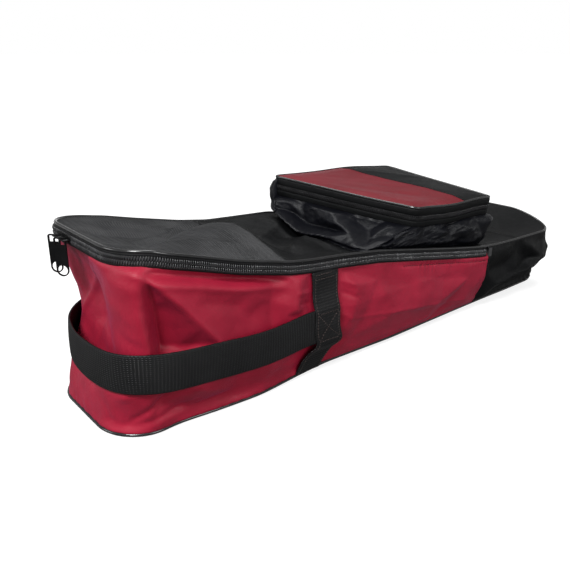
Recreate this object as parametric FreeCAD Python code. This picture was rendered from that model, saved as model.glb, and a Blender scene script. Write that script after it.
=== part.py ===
"""Long soft skate bag: a boxy fabric body with a zipped lid that is hinged near its far end, a gusseted
pocket on the lid, and a webbing loop handle round the near end. Millimetres, +Z up.

The bag is built with the near edge of its base at x = 0 and its length along +X. At export everything is
shifted in X, so that the origin is the bottom centre of the whole object's box."""

import FreeCAD
import Part
import math
import os

V = FreeCAD.Vector

# ---- driving dimensions -------------------------------------------------------------------------
BASE_X0, BASE_X1 = 0.0, 714.0     # outline of the base, outer faces of the walls
BASE_HALF_WIDTH = 82.0
RIM_X0, RIM_X1 = 11.0, 708.0      # outline of the rim and of the lid
RIM_HALF_WIDTH = 93.0
CORNER_R = 48.0                   # vertical corners, in plan
FLARE_TOP = 76.0                  # the walls lean from the base outline to the rim outline up to here
NEAR_HEIGHT = 186.0               # rim line at x = 0
FAR_HEIGHT = 95.0                 # rim height from the hinge to the far end
SLOPE_END = 530.0                 # where the sloping rim line would meet the level far rim
SLOPE_BLEND_R = 800.0

WALL = 2.4                        # padded wall fabric
PANEL = 2.0                       # lid and base fabric
PIPING = 3.5                      # piping, square envelope of the round cord
TAPE = 1.0                        # zipper tape thickness
WEB = 2.0                         # webbing thickness
WEB_WIDTH = 38.0

HINGE_X = 531.0                   # fold line of the lid, just past the ends of the zipper
HINGE_GAP = 0.5
ZIP_END_X = 526.0
SEAM_W = 3.0
LID_SEAM_X = 188.0                # seam between the ribbed near panel and the plain middle panel
FAR_SEAM_X = 600.0                # seam across the fixed far top
SIDE_STRAP_X = 237.0              # middle of the side straps and of the handle's cross-stitched ends
SIDE_SPLIT_X = 66.0               # the near wall wraps both corners and ends here
BINDING_X = 533.0                 # vertical binding between the red and the black wall fabric
BINDING_W = 3.5

# heights of the zipper's bands below the rim
ZIP_AXIS = 9.0                    # slider travel line
COIL_SLOT = 1.4                   # slot between the two coils, for the slider's post
COIL_H = 2.8
COIL_T = 1.6
TAPE_INSET = 0.4                  # outer face of a tape behind the outer face of its wall
TAPE_BOTTOM = 15.5                # the lower tape meets the wall here

BOARD = 3.0
BOARD_INSET = 12.0
FOOT = 0.3                        # underside of the base piping above the ground
WALL_FOOT = FOOT + PIPING         # the walls stand on the base piping
PIPING_PROUD = 0.5                # the piping stands out from the walls

# pocket on the lid
POCKET_X0, POCKET_X1 = 327.0, 522.0
POCKET_HALF_WIDTH = 84.0
POCKET_R = 22.0
POCKET_TOP = 173.5                # height of the middle of the pocket's flap
POCKET_LEAN = 8.5                 # degrees; the flap rises towards the back
GUSSET = 1.2
POCKET_BAND_UPPER = 10.0          # flap fabric down to the zipper
POCKET_ZIP_AXIS = 14.0
POCKET_TAPE_BOTTOM = 19.0
POCKET_BAND_LOWER = 25.0          # the thin gusset begins here
POCKET_TAPE_INSET = 0.2
BAND_PROUD = 0.4
FLAP_GAP = 0.3
FLAP_COLOUR_X = 442.0             # near part of the flap is red and the rest is black
FLAP_COLOUR_SKEW = 45.0           # how far that seam leans towards the far end at the front
POCKET_SLIDER_Y = 40.0

# end handle
HANDLE_Z = 63.0                   # height of its cross-stitched ends
HANDLE_TILT = 4.6                 # degrees; the loop rises towards the near end
HANDLE_STANDOFF = 5.0             # free gap in front of the base outline at the near end
HANDLE_R = 60.0
HANDLE_SIDE_GAP = 0.6             # on both faces of the handle's end, under its side strap
TUNNEL_HALF_HEIGHT = 26.0         # the side strap stands off the wall here, over the handle's end
TUNNEL_LIP = 2.0                  # the strap's step at both ends of that stretch

# sliders and pulls
SLIDER_LENGTH = 14.0
SLIDER_NOSE_W = 9.0               # stays clear of the piping above
SLIDER_TAIL_W = 7.6
SLIDER_TAPER_FROM = -1.5          # where the plates start to narrow towards the tail
SLIDER_PLATE = 1.3
SLIDER_CORNER_R = 1.2
OUTER_CLEAR = 0.3
INNER_CLEAR = 1.3                 # wider, because the lid's tape leaves the channel on an arc
POST_T = 0.9
POST_LENGTH = 3.0
POST_INSET = 0.5
BAIL_AXIS = 7.6                   # distance of the bail's bar from the wall
BAIL_REACH = 5.2                  # half the distance between the bail's legs
BAIL_LEG_R = 1.1
BAR_R = 0.9
SLIDERS_MEET_Y = 24.0
SLIDER_GAP = 0.6
PULL_T = 1.4
PULL_HALF_WIDTH = 6.0
PULL_OFFSET = 1.5                 # the bar is nearer to the pull's inner edge
PULL_ABOVE = 2.6                  # pull above and below the bar
PULL_BELOW = 35.4
PULL_RIM = 1.6
EYE_RIM = 1.2
WINDOW_TOP = 1.25                 # above the bar, so that the pull can turn round it
WINDOW_HEIGHT = 6.0
SHOULDER_R = 2.0
PULL_TWIST = -45.0                # degrees from the plane across the bar

BIG = 400.0                       # beyond the object on every side


# ---- shared shapes ------------------------------------------------------------------------------
def box(x0, x1, y0, y1, z0, z1):
    return Part.makeBox(x1 - x0, y1 - y0, z1 - z0, V(x0, y0, z0))


def rounded_rectangle(x0, x1, y0, y1, r):
    """Closed wire of a rectangle with equal round corners, at z = 0."""
    k = r * (1 - math.sqrt(0.5))
    corners = [
        (V(x0, y0 + r), V(x0 + k, y0 + k), V(x0 + r, y0)),
        (V(x1 - r, y0), V(x1 - k, y0 + k), V(x1, y0 + r)),
        (V(x1, y1 - r), V(x1 - k, y1 - k), V(x1 - r, y1)),
        (V(x0 + r, y1), V(x0 + k, y1 - k), V(x0, y1 - r)),
    ]
    edges = []
    for i, (a, m, b) in enumerate(corners):
        edges.append(Part.Arc(a, m, b).toShape())
        edges.append(Part.LineSegment(b, corners[(i + 1) % 4][0]).toShape())
    return Part.Wire(edges)


def column(x0, x1, y0, y1, r, z0=-BIG, z1=BIG):
    """A rounded rectangle raised to a column."""
    wire = rounded_rectangle(x0, x1, y0, y1, r)
    wire.translate(V(0, 0, z0))
    return Part.Face(wire).extrude(V(0, 0, z1 - z0))


def bag_column(inset):
    """Column on the rim outline, for the lid, the zipper and everything above the walls."""
    half = RIM_HALF_WIDTH - inset
    return column(RIM_X0 + inset, RIM_X1 - inset, -half, half, CORNER_R - inset)


def bag_ring(outer_inset, inner_inset):
    return bag_column(outer_inset).cut(bag_column(inner_inset))


def base_column(inset, z0, z1):
    half = BASE_HALF_WIDTH - inset
    return column(BASE_X0 + inset, BASE_X1 - inset, -half, half, CORNER_R - inset, z0, z1)


def wall_column(inset):
    """The bag's outside: it leans from the base outline to the rim outline, and is upright above."""
    half0, half1, r = BASE_HALF_WIDTH - inset, RIM_HALF_WIDTH - inset, CORNER_R - inset
    foot = rounded_rectangle(BASE_X0 + inset, BASE_X1 - inset, -half0, half0, r)
    shoulder = rounded_rectangle(RIM_X0 + inset, RIM_X1 - inset, -half1, half1, r)
    shoulder.translate(V(0, 0, FLARE_TOP))
    flare = Part.makeLoft([foot, shoulder], True, True)
    upright = column(RIM_X0 + inset, RIM_X1 - inset, -half1, half1, r, FLARE_TOP)
    return flare.fuse(upright)


def wall_ring(outer_inset, inner_inset):
    return wall_column(outer_inset).cut(wall_column(inner_inset))


def rim_z(x):
    """Rim height, leaving out the blend between the slope and the level part."""
    slope = (NEAR_HEIGHT - FAR_HEIGHT) / SLOPE_END
    return NEAR_HEIGHT - slope * x if x < SLOPE_END else FAR_HEIGHT


def rim_edges(dz):
    """The rim's side view as line, arc, line, moved up by dz."""
    turn = math.atan((NEAR_HEIGHT - FAR_HEIGHT) / SLOPE_END)
    reach = SLOPE_BLEND_R * math.tan(turn / 2)
    start = V(-BIG, 0, rim_z(-BIG) + dz)
    blend0 = V(SLOPE_END - reach * math.cos(turn), 0, FAR_HEIGHT + reach * math.sin(turn) + dz)
    blend1 = V(SLOPE_END + reach, 0, FAR_HEIGHT + dz)
    centre = V(blend1.x, 0, blend1.z + SLOPE_BLEND_R)
    middle = centre + V(-math.sin(turn / 2), 0, -math.cos(turn / 2)) * SLOPE_BLEND_R
    end = V(BASE_X1 + BIG, 0, FAR_HEIGHT + dz)
    return [
        Part.LineSegment(start, blend0).toShape(),
        Part.Arc(blend0, middle, blend1).toShape(),
        Part.LineSegment(blend1, end).toShape(),
    ]


def rim_layer(low, high):
    """Everything between the rim surface moved by low and by high."""
    upper, lower = rim_edges(high), rim_edges(low)
    ends = [
        Part.LineSegment(lower[i].Vertexes[j].Point, upper[i].Vertexes[j].Point).toShape()
        for i, j in ((0, 0), (2, 1))
    ]
    face = Part.Face(Part.Wire([*upper, ends[1], *reversed(lower), ends[0]]))
    face.translate(V(0, -BIG, 0))
    return face.extrude(V(0, 2 * BIG, 0))


def slab(z0, z1):
    return box(-BIG, BASE_X1 + BIG, -BIG, BIG, z0, z1)


def near_of(x):
    return box(-BIG, x, -BIG, BIG, -BIG, BIG)


def far_of(x):
    return box(x, BASE_X1 + BIG, -BIG, BIG, -BIG, BIG)


def between(x0, x1):
    return box(x0, x1, -BIG, BIG, -BIG, BIG)


def front_half():
    return box(-BIG, BASE_X1 + BIG, -BIG, 0, -BIG, BIG)


def back_half():
    return box(-BIG, BASE_X1 + BIG, 0, BIG, -BIG, BIG)


# ---- body of the bag ----------------------------------------------------------------------------

def base_nodes():
    piping = base_column(-PIPING_PROUD, FOOT, WALL_FOOT).cut(base_column(PIPING, FOOT, WALL_FOOT))
    return {
        "base_panel": base_column(PIPING, 0, PANEL),
        "base_board": base_column(BOARD_INSET, PANEL, PANEL + BOARD),
        "base_piping": piping,
    }


def wall_nodes():
    above_foot = slab(WALL_FOOT, BIG)
    wall = wall_ring(0, WALL).common(above_foot)
    red = wall.common(rim_layer(-BIG, -TAPE_BOTTOM))
    black = wall.common(rim_layer(-BIG, -PIPING))
    sides = red.common(between(SIDE_SPLIT_X, BINDING_X))
    binding = wall_ring(-PIPING_PROUD, WALL).common(above_foot).common(rim_layer(-BIG, -PIPING))
    binding = binding.common(between(BINDING_X, BINDING_X + BINDING_W))
    return {
        "near_wall": red.common(near_of(SIDE_SPLIT_X)),
        "front_wall": sides.common(front_half()),
        "back_wall": sides.common(back_half()),
        "far_wall": black.common(far_of(BINDING_X + BINDING_W)),
        "seam_binding_front": binding.common(front_half()),
        "seam_binding_back": binding.common(back_half()),
    }


def side_strap_nodes():
    """Webbing on both side walls, from the base seam up to the zipper seam, over the handle's ends."""
    width = between(SIDE_STRAP_X - WEB_WIDTH / 2, SIDE_STRAP_X + WEB_WIDTH / 2)
    low, high = HANDLE_Z - TUNNEL_HALF_HEIGHT, HANDLE_Z + TUNNEL_HALF_HEIGHT
    tunnel_y = RIM_HALF_WIDTH + HANDLE_SIDE_GAP + WEB + HANDLE_SIDE_GAP
    block = box(-BIG, BIG, -tunnel_y - WEB, tunnel_y + WEB, low - TUNNEL_LIP, high + TUNNEL_LIP)
    tunnel = box(-BIG, BIG, -tunnel_y, tunnel_y, low, high)
    over_handle = block.cut(tunnel).cut(wall_column(0))
    on_wall = wall_ring(-WEB, 0).common(slab(WALL_FOOT, BIG)).cut(block)
    straps = on_wall.fuse(over_handle).common(width).common(rim_layer(-BIG, -TAPE_BOTTOM - 1))
    return {
        "side_strap_front": straps.common(front_half()),
        "side_strap_back": straps.common(back_half()),
    }


def far_top_nodes():
    start = HINGE_X + HINGE_GAP / 2
    panel = bag_column(PIPING).common(rim_layer(-PANEL, 0))
    return {
        "hinge_panel": panel.common(between(start, FAR_SEAM_X - SEAM_W / 2)),
        "far_cross_seam": panel.common(between(FAR_SEAM_X - SEAM_W / 2, FAR_SEAM_X + SEAM_W / 2)),
        "far_top_panel": panel.common(far_of(FAR_SEAM_X + SEAM_W / 2)),
        "far_top_piping": bag_ring(0, PIPING).common(rim_layer(-PIPING, 0)).common(far_of(start)),
    }


def zip_band(low, high, outer_inset, inner_inset):
    return bag_ring(outer_inset, inner_inset).common(rim_layer(low, high)).common(near_of(ZIP_END_X))


def body_zip_nodes():
    coil_top = -ZIP_AXIS - COIL_SLOT / 2
    stop = bag_ring(TAPE_INSET - COIL_T, WALL).common(rim_layer(-TAPE_BOTTOM, -PIPING - 0.5))
    stop = stop.common(between(ZIP_END_X + 0.5, BINDING_X))
    return {
        "zip_tape_body": zip_band(-TAPE_BOTTOM, coil_top, TAPE_INSET, TAPE_INSET + TAPE),
        "zip_coil_body": zip_band(coil_top - COIL_H, coil_top, TAPE_INSET - COIL_T, TAPE_INSET),
        "zip_stop_front": stop.common(front_half()),
        "zip_stop_back": stop.common(back_half()),
    }


# ---- lid ----------------------------------------------------------------------------------------
def lid_nodes():
    moving = near_of(HINGE_X - HINGE_GAP / 2)
    panel = bag_column(PIPING).common(rim_layer(-PANEL, 0)).common(moving)
    coil_bottom = -ZIP_AXIS + COIL_SLOT / 2
    return {
        "lid_near_panel": panel.common(near_of(LID_SEAM_X - SEAM_W / 2)),
        "lid_middle_panel": panel.common(far_of(LID_SEAM_X + SEAM_W / 2)),
        "lid_cross_seam": panel.common(between(LID_SEAM_X - SEAM_W / 2, LID_SEAM_X + SEAM_W / 2)),
        "lid_piping": bag_ring(0, PIPING).common(rim_layer(-PIPING, 0)).common(moving),
        "zip_tape_lid": zip_band(coil_bottom, -PIPING, TAPE_INSET, TAPE_INSET + TAPE),
        "zip_coil_lid": zip_band(coil_bottom, coil_bottom + COIL_H, TAPE_INSET - COIL_T, TAPE_INSET),
    }


# ---- pocket -------------------------------------------------------------------------------------
POCKET_TURN = (V(0, 0, POCKET_TOP), V(1, 0, 0), POCKET_LEAN)
RING_END_Y = POCKET_HALF_WIDTH - POCKET_R


def pocket_layer(low, high):
    """Between the pocket's leaning top plane moved by low and by high."""
    layer = slab(POCKET_TOP + low, POCKET_TOP + high)
    layer.rotate(*POCKET_TURN)
    return layer


def pocket_column(inset):
    half = POCKET_HALF_WIDTH - inset
    return column(POCKET_X0 + inset, POCKET_X1 - inset, -half, half, POCKET_R - inset)


def pocket_ring(outer_inset, inner_inset):
    return pocket_column(outer_inset).cut(pocket_column(inner_inset))


def three_sides(outer_inset, inner_inset):
    """Wall ring of the pocket, without its back side."""
    return pocket_ring(outer_inset, inner_inset).common(
        box(-BIG, BASE_X1 + BIG, -BIG, RING_END_Y, -BIG, BIG))


def pocket_nodes():
    above_lid = rim_layer(0, BIG)
    back_side = box(-BIG, BASE_X1 + BIG, RING_END_Y + HINGE_GAP, BIG, -BIG, BIG)
    coil_top = -POCKET_ZIP_AXIS - COIL_SLOT / 2
    tape = (POCKET_TAPE_INSET, POCKET_TAPE_INSET + TAPE)
    coil = (POCKET_TAPE_INSET - COIL_T, POCKET_TAPE_INSET)
    return {
        "pocket_gusset": three_sides(0, GUSSET).common(above_lid).common(
            pocket_layer(-BIG, -POCKET_BAND_LOWER)),
        "pocket_back": pocket_ring(0, GUSSET).common(above_lid).common(back_side).common(
            pocket_layer(-BIG, -PIPING - FLAP_GAP)),
        "pocket_lower_band": three_sides(-BAND_PROUD, GUSSET).common(
            pocket_layer(-POCKET_BAND_LOWER, -POCKET_TAPE_BOTTOM)),
        "pocket_zip_tape_lower": three_sides(*tape).common(pocket_layer(-POCKET_TAPE_BOTTOM, coil_top)),
        "pocket_coil_lower": three_sides(*coil).common(pocket_layer(coil_top - COIL_H, coil_top)),
    }


def flap_nodes():
    coil_bottom = -POCKET_ZIP_AXIS + COIL_SLOT / 2
    tape = (POCKET_TAPE_INSET, POCKET_TAPE_INSET + TAPE)
    coil = (POCKET_TAPE_INSET - COIL_T, POCKET_TAPE_INSET)
    panel = pocket_column(PIPING).common(pocket_layer(-GUSSET, 0))
    corners = [V(0, -POCKET_HALF_WIDTH, -BIG),
               V(FLAP_COLOUR_X + FLAP_COLOUR_SKEW, -POCKET_HALF_WIDTH, -BIG),
               V(FLAP_COLOUR_X - FLAP_COLOUR_SKEW, POCKET_HALF_WIDTH, -BIG),
               V(0, POCKET_HALF_WIDTH, -BIG)]
    red_side = Part.Face(Part.makePolygon([*corners, corners[0]])).extrude(V(0, 0, 2 * BIG))
    return {
        "flap_red_panel": panel.common(red_side),
        "flap_black_panel": panel.cut(red_side),
        "flap_piping": pocket_ring(0, PIPING).common(pocket_layer(-PIPING, 0)),
        "flap_upper_band": three_sides(0, GUSSET).common(pocket_layer(-POCKET_BAND_UPPER, -PIPING)),
        "pocket_zip_tape_upper": three_sides(*tape).common(
            pocket_layer(coil_bottom, -POCKET_BAND_UPPER)),
        "pocket_coil_upper": three_sides(*coil).common(
            pocket_layer(coil_bottom, coil_bottom + COIL_H)),
    }


# ---- end handle ---------------------------------------------------------------------------------
def end_handle():
    """One length of webbing, from under one side strap round the near end to the other."""
    side = RIM_HALF_WIDTH + HANDLE_SIDE_GAP
    near = BASE_X0 - HANDLE_STANDOFF
    far = SIDE_STRAP_X + WEB_WIDTH / 2
    low, high = HANDLE_Z - WEB_WIDTH / 2, HANDLE_Z + WEB_WIDTH / 2
    outer = column(near - WEB, far + BIG, -side - WEB, side + WEB, HANDLE_R + WEB, low, high)
    inner = column(near, far + BIG, -side, side, HANDLE_R, low, high)
    loop = outer.cut(inner).common(near_of(far))
    loop.rotate(V(SIDE_STRAP_X, 0, HANDLE_Z), V(0, 1, 0), HANDLE_TILT)
    return loop


# ---- sliders and pulls --------------------------------------------------------------------------
# Local axes: +x outwards from the wall, y along the zipper with the closed side at +y, z up.
def slider_plate(low, high):
    half, nose, tail = SLIDER_LENGTH / 2, SLIDER_NOSE_W / 2, SLIDER_TAIL_W / 2
    corners = [V(low, -half, -nose), V(low, SLIDER_TAPER_FROM, -nose), V(low, half, -tail),
               V(low, half, tail), V(low, SLIDER_TAPER_FROM, nose), V(low, -half, nose)]
    plate = Part.Face(Part.makePolygon([*corners, corners[0]])).extrude(V(high - low, 0, 0))
    across = [e for e in plate.Edges if abs(e.Vertexes[0].Point.x - e.Vertexes[1].Point.x) > 0.5]
    return plate.makeFillet(SLIDER_CORNER_R, across)


def slider_solid():
    """Two plates joined by a thin post, open above and below, with a bridge-shaped bail outside."""
    outer0 = COIL_T - TAPE_INSET + OUTER_CLEAR
    inner1 = -TAPE_INSET - TAPE - INNER_CLEAR
    post0 = -SLIDER_LENGTH / 2 + POST_INSET
    outer = slider_plate(outer0, outer0 + SLIDER_PLATE)
    inner = slider_plate(inner1 - SLIDER_PLATE, inner1)
    post = box(inner1, outer0, post0, post0 + POST_LENGTH, -POST_T / 2, POST_T / 2)
    bar = Part.makeCylinder(BAR_R, 2 * BAIL_REACH, V(BAIL_AXIS, -BAIL_REACH, 0), V(0, 1, 0))
    legs = []
    for y in (-BAIL_REACH, BAIL_REACH):
        legs.append(Part.makeCylinder(BAIL_LEG_R, BAIL_AXIS - outer0, V(outer0, y, 0), V(1, 0, 0)))
        legs.append(Part.makeSphere(BAIL_LEG_R, V(BAIL_AXIS, y, 0)))
    return outer.fuse([inner, post, bar, *legs]).removeSplitter()


def pull_solid(twist):
    """Flat pull hanging on the bail's bar, with a window round the bar and a big round hole below."""
    low, high = PULL_OFFSET - PULL_HALF_WIDTH, PULL_OFFSET + PULL_HALF_WIDTH
    eye_z = -PULL_BELOW + PULL_HALF_WIDTH
    plate = box(low, high, -PULL_T / 2, PULL_T / 2, eye_z, PULL_ABOVE)
    shoulders = [e for e in plate.Edges
                 if abs(e.Vertexes[0].Point.y - e.Vertexes[1].Point.y) > 0.5
                 and e.Vertexes[0].Point.z > 0]
    plate = plate.makeFillet(SHOULDER_R, shoulders)
    eye = Part.makeCylinder(PULL_HALF_WIDTH, PULL_T, V(PULL_OFFSET, -PULL_T / 2, eye_z), V(0, 1, 0))
    hole = Part.makeCylinder(PULL_HALF_WIDTH - EYE_RIM, PULL_T, V(PULL_OFFSET, -PULL_T / 2, eye_z),
                             V(0, 1, 0))
    window = box(low + PULL_RIM, high - PULL_RIM, -PULL_T / 2, PULL_T / 2,
                 WINDOW_TOP - WINDOW_HEIGHT, WINDOW_TOP)
    pull = plate.fuse(eye).cut(hole).cut(window)
    pull = pull.removeSplitter()
    pull.translate(V(BAIL_AXIS, 0, 0))
    pull.rotate(V(BAIL_AXIS, 0, 0), V(0, 0, 1), twist)
    return pull


def slider_nodes():
    nodes = {}
    reach = SLIDER_LENGTH / 2 + SLIDER_GAP / 2
    for name, sign in (("front", -1), ("back", 1)):
        place = V(RIM_X0, SLIDERS_MEET_Y + sign * reach, rim_z(RIM_X0) - ZIP_AXIS)
        slider = slider_solid()
        if sign > 0:
            slider = slider.mirror(V(0, 0, 0), V(0, 1, 0))
        nodes["slider_" + name] = slider
        nodes["pull_" + name] = pull_solid(PULL_TWIST)
        for part in ("slider_" + name, "pull_" + name):
            nodes[part].rotate(V(0, 0, 0), V(0, 0, 1), 180)
            nodes[part].translate(place)
    place = V(POCKET_X1 + TAPE_INSET - POCKET_TAPE_INSET, POCKET_SLIDER_Y, POCKET_TOP - POCKET_ZIP_AXIS)
    for part, shape in (("pocket_slider", slider_solid()), ("pocket_pull", pull_solid(0))):
        shape.translate(place)
        shape.rotate(*POCKET_TURN)
        nodes[part] = shape
    return nodes


# ---- export -------------------------------------------------------------------------------------
def main():
    nodes = {}
    for group in (base_nodes, wall_nodes, side_strap_nodes, far_top_nodes, body_zip_nodes, lid_nodes,
                  pocket_nodes, flap_nodes, slider_nodes):
        nodes.update(group())
    nodes["end_handle"] = end_handle()

    bounds = FreeCAD.BoundBox()
    for shape in nodes.values():
        bounds.add(shape.optimalBoundingBox(True, False))
    shift = -(bounds.XMin + bounds.XMax) / 2
    os.makedirs("parts", exist_ok=True)
    for name, shape in nodes.items():
        solids = shape.Solids
        shape = solids[0] if len(solids) == 1 else Part.makeCompound(solids)
        shape.translate(V(shift, 0, 0))
        shape.exportStep("parts/" + name + ".step")
        valid = all(s.isValid() for s in solids)
        print(f"{name:24s} solids {len(solids)} valid {valid} volume {shape.Volume / 1000:.2f} cm3")
    print("x shift", shift, "bounds", bounds)


main()
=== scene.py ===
"""Looks of the soft skate bag: folded red nylon walls, a ribbed lid, a crumpled pocket and webbing straps.

Lengths are millimetres in the bag's own coordinates, where the near edge of the base is at x = 0, until
to_metres() places them in the frame."""

import math

import bmesh
import bpy
import numpy as np
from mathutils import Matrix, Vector
from mathutils.geometry import delaunay_2d_cdt


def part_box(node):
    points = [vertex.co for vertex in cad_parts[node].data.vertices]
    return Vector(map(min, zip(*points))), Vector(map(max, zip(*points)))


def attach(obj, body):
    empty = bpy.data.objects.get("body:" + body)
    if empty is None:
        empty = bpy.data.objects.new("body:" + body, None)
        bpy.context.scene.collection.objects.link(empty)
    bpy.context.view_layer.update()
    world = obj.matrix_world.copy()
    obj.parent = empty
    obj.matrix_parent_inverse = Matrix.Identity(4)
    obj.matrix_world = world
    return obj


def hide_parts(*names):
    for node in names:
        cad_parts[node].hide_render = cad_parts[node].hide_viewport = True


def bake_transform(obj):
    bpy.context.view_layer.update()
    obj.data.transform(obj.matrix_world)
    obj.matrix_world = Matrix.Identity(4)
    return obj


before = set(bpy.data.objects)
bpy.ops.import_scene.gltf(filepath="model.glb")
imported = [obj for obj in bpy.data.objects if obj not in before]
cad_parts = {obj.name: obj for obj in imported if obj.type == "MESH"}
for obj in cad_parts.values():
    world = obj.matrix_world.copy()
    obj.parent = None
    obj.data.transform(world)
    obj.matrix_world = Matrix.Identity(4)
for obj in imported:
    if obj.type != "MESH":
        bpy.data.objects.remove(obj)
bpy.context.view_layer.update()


# ---- driving dimensions, mm -------------------------------
PIPING = 3.5
CORD_RADIUS = PIPING / 2
CORNER_R = 48.0
BASE_X0, BASE_X1, BASE_HALF = 0.0, 714.0, 82.0
RIM_X0, RIM_X1, RIM_HALF = 11.0, 703.0, 93.0
FLARE_TOP = 76.0                  # the walls lean out up to this height
NEAR_HEIGHT, FAR_HEIGHT, SLOPE_END, SLOPE_ROUND = 186.0, 95.0, 530.0, 33.0
HINGE_X, ZIP_END_X, LID_SEAM_X, FAR_SEAM_X, BINDING_X = 531.0, 526.0, 188.0, 600.0, 533.0
HINGE_REACH = 17.0                # the fold over the hinge bends this far on both sides
FOLD_X0, FOLD_X1 = HINGE_X - HINGE_REACH, HINGE_X + HINGE_REACH
STRAP_X, STRAP_WIDTH, WEB = 237.0, 36.0, 1.8
ZIP_AXIS, TAPE_BOTTOM = 9.0, 14.0
COIL_PITCH = 2.3
WALL_CLOTH, LID_CLOTH, FLAP_CLOTH, THIN_CLOTH, BOARD_THICK = 1.2, 1.0, 0.9, 0.4, 3.0

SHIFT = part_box("base_panel")[0].x * 1000 - PIPING

# lap coordinate q: arc length round the walls, 0 in the middle of the near front corner, + along the front
NOMINAL_X0, NOMINAL_X1, NOMINAL_HALF = 5.0, 711.0, 88.0
ARC = CORNER_R * math.pi / 2
SIDE_RUN = NOMINAL_X1 - NOMINAL_X0 - 2 * CORNER_R
END_RUN = 2 * (NOMINAL_HALF - CORNER_R)
LAP = 4 * ARC + 2 * SIDE_RUN + 2 * END_RUN
NEAR_MIDDLE_Q = -(ARC + END_RUN) / 2


def front_q(x):
    """Lap coordinate of the front wall at x."""
    return x - NOMINAL_X0 - CORNER_R + ARC / 2


def mirror_q(q):
    """The same place on the other side of the bag's middle plane."""
    return 2 * NEAR_MIDDLE_Q - q


# ---- small tools ------------------------------------------
def smoothstep(a, b, x):
    t = np.clip((np.asarray(x, float) - a) / (b - a), 0, 1)
    return t * t * (3 - 2 * t)


def curve_through(table, x, width=12.0):
    """Reads a table of (x, value) points with its corners rounded over about width."""
    xs, ys = np.array(table, float).T
    taps = np.linspace(-1, 1, 9)
    weights = np.cos(taps * math.pi / 2) ** 2
    total = sum(w * np.interp(np.asarray(x, float) + t * width, xs, ys) for t, w in zip(taps, weights))
    return total / weights.sum()


def noise(u, v, size, seed):
    """Smooth noise from -1 to 1 with features about size wide."""
    cells = 64
    table = np.random.default_rng(seed).uniform(-1, 1, (cells, cells))
    a, b = np.asarray(u, float) / size, np.asarray(v, float) / size
    i, j = np.floor(a).astype(int), np.floor(b).astype(int)
    fa, fb = smoothstep(0, 1, a - i), smoothstep(0, 1, b - j)

    def corner(di, dj):
        return table[(i + di) % cells, (j + dj) % cells]

    low = corner(0, 0) * (1 - fa) + corner(1, 0) * fa
    high = corner(0, 1) * (1 - fa) + corner(1, 1) * fa
    return low * (1 - fb) + high * fb


def facets(points, u, v):
    """Height of the flat facets that join (u, v, height) points, read at u, v."""
    flat = [Vector((p[0], p[1])) for p in points]
    corners, _, faces, sources, *_ = delaunay_2d_cdt(flat, [], [], 0, 1e-5)
    heights = [points[s[0]][2] for s in sources]
    out = np.zeros(np.shape(u))
    for face in faces:
        (ax, ay), (bx, by), (cx, cy) = (corners[i] for i in face)
        area = (bx - ax) * (cy - ay) - (cx - ax) * (by - ay)
        if abs(area) < 1e-6:
            continue
        wb = ((u - ax) * (cy - ay) - (cx - ax) * (v - ay)) / area
        wc = ((bx - ax) * (v - ay) - (u - ax) * (by - ay)) / area
        wa = 1 - wb - wc
        inside = (wa > -1e-6) & (wb > -1e-6) & (wc > -1e-6)
        height = wa * heights[face[0]] + wb * heights[face[1]] + wc * heights[face[2]]
        out = np.where(inside, height, out)
    return out


def blur(grid, passes):
    """Rounds the creases of a grid of heights."""
    for _ in range(passes):
        for axis in (0, 1):
            widths = [(1, 1) if a == axis else (0, 0) for a in (0, 1)]
            p = np.pad(grid, widths, mode="edge")
            low, high = (p[:-2], p[2:]) if axis == 0 else (p[:, :-2], p[:, 2:])
            grid = grid / 2 + (low + high) / 4
    return grid


def crease(u, v, a, b, width, height):
    """Ridge or valley along the segment from a to b, fading at both ends."""
    dx, dy = b[0] - a[0], b[1] - a[1]
    length = math.hypot(dx, dy)
    along = ((u - a[0]) * dx + (v - a[1]) * dy) / length / length
    across = ((v - a[1]) * dx - (u - a[0]) * dy) / length
    fade = smoothstep(-0.15, 0.25, along) * (1 - smoothstep(0.75, 1.15, along))
    return height * np.exp(-np.abs(across / width) ** 1.5) * fade


def creases(u, v, table):
    """Sum of the creases in a table of (a, b, width, height)."""
    return sum(crease(u, v, *row) for row in table)


def run_along(path):
    """Distance from the start of a path to each of its points."""
    return np.concatenate([[0], np.cumsum(np.linalg.norm(np.diff(path, axis=0), axis=1))])


def read_at(s, run, values):
    """Rows of values, known at the distances run, read at the distances s."""
    return np.stack([np.interp(s, run, column) for column in values.T], -1)


def unit(vectors):
    return vectors / np.linalg.norm(vectors, axis=-1, keepdims=True)


def ring_angles(count):
    return np.linspace(0, 2 * math.pi, count, endpoint=False)


def mapped(a, b):
    """Weave coordinates in mm from two directions, which may be a row and a column."""
    return np.stack(np.broadcast_arrays(a, b), -1)


def to_metres(points):
    out = np.array(points, float)
    out[..., 0] += SHIFT
    return out / 1000


def blend_ends(*points):
    return [tuple(p) for p in to_metres(points)]


def grid_quads(rows, cols, first=0, wrap_cols=False):
    """Faces of a grid of points stored row by row, seen with columns to the right and rows upwards."""
    i = np.arange(rows - 1)[:, None]
    j = np.arange(cols if wrap_cols else cols - 1)[None, :]
    k = (j + 1) % cols
    quads = np.stack([i * cols + j, i * cols + k, (i + 1) * cols + k, (i + 1) * cols + j], axis=-1)
    return quads.reshape(-1, 4) + first


# two places for the line where the pocket's cloth passes from the lid to the flap
FLAP_FOLD = blend_ends((0, 89, 175), (0, 68, 175))


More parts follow.
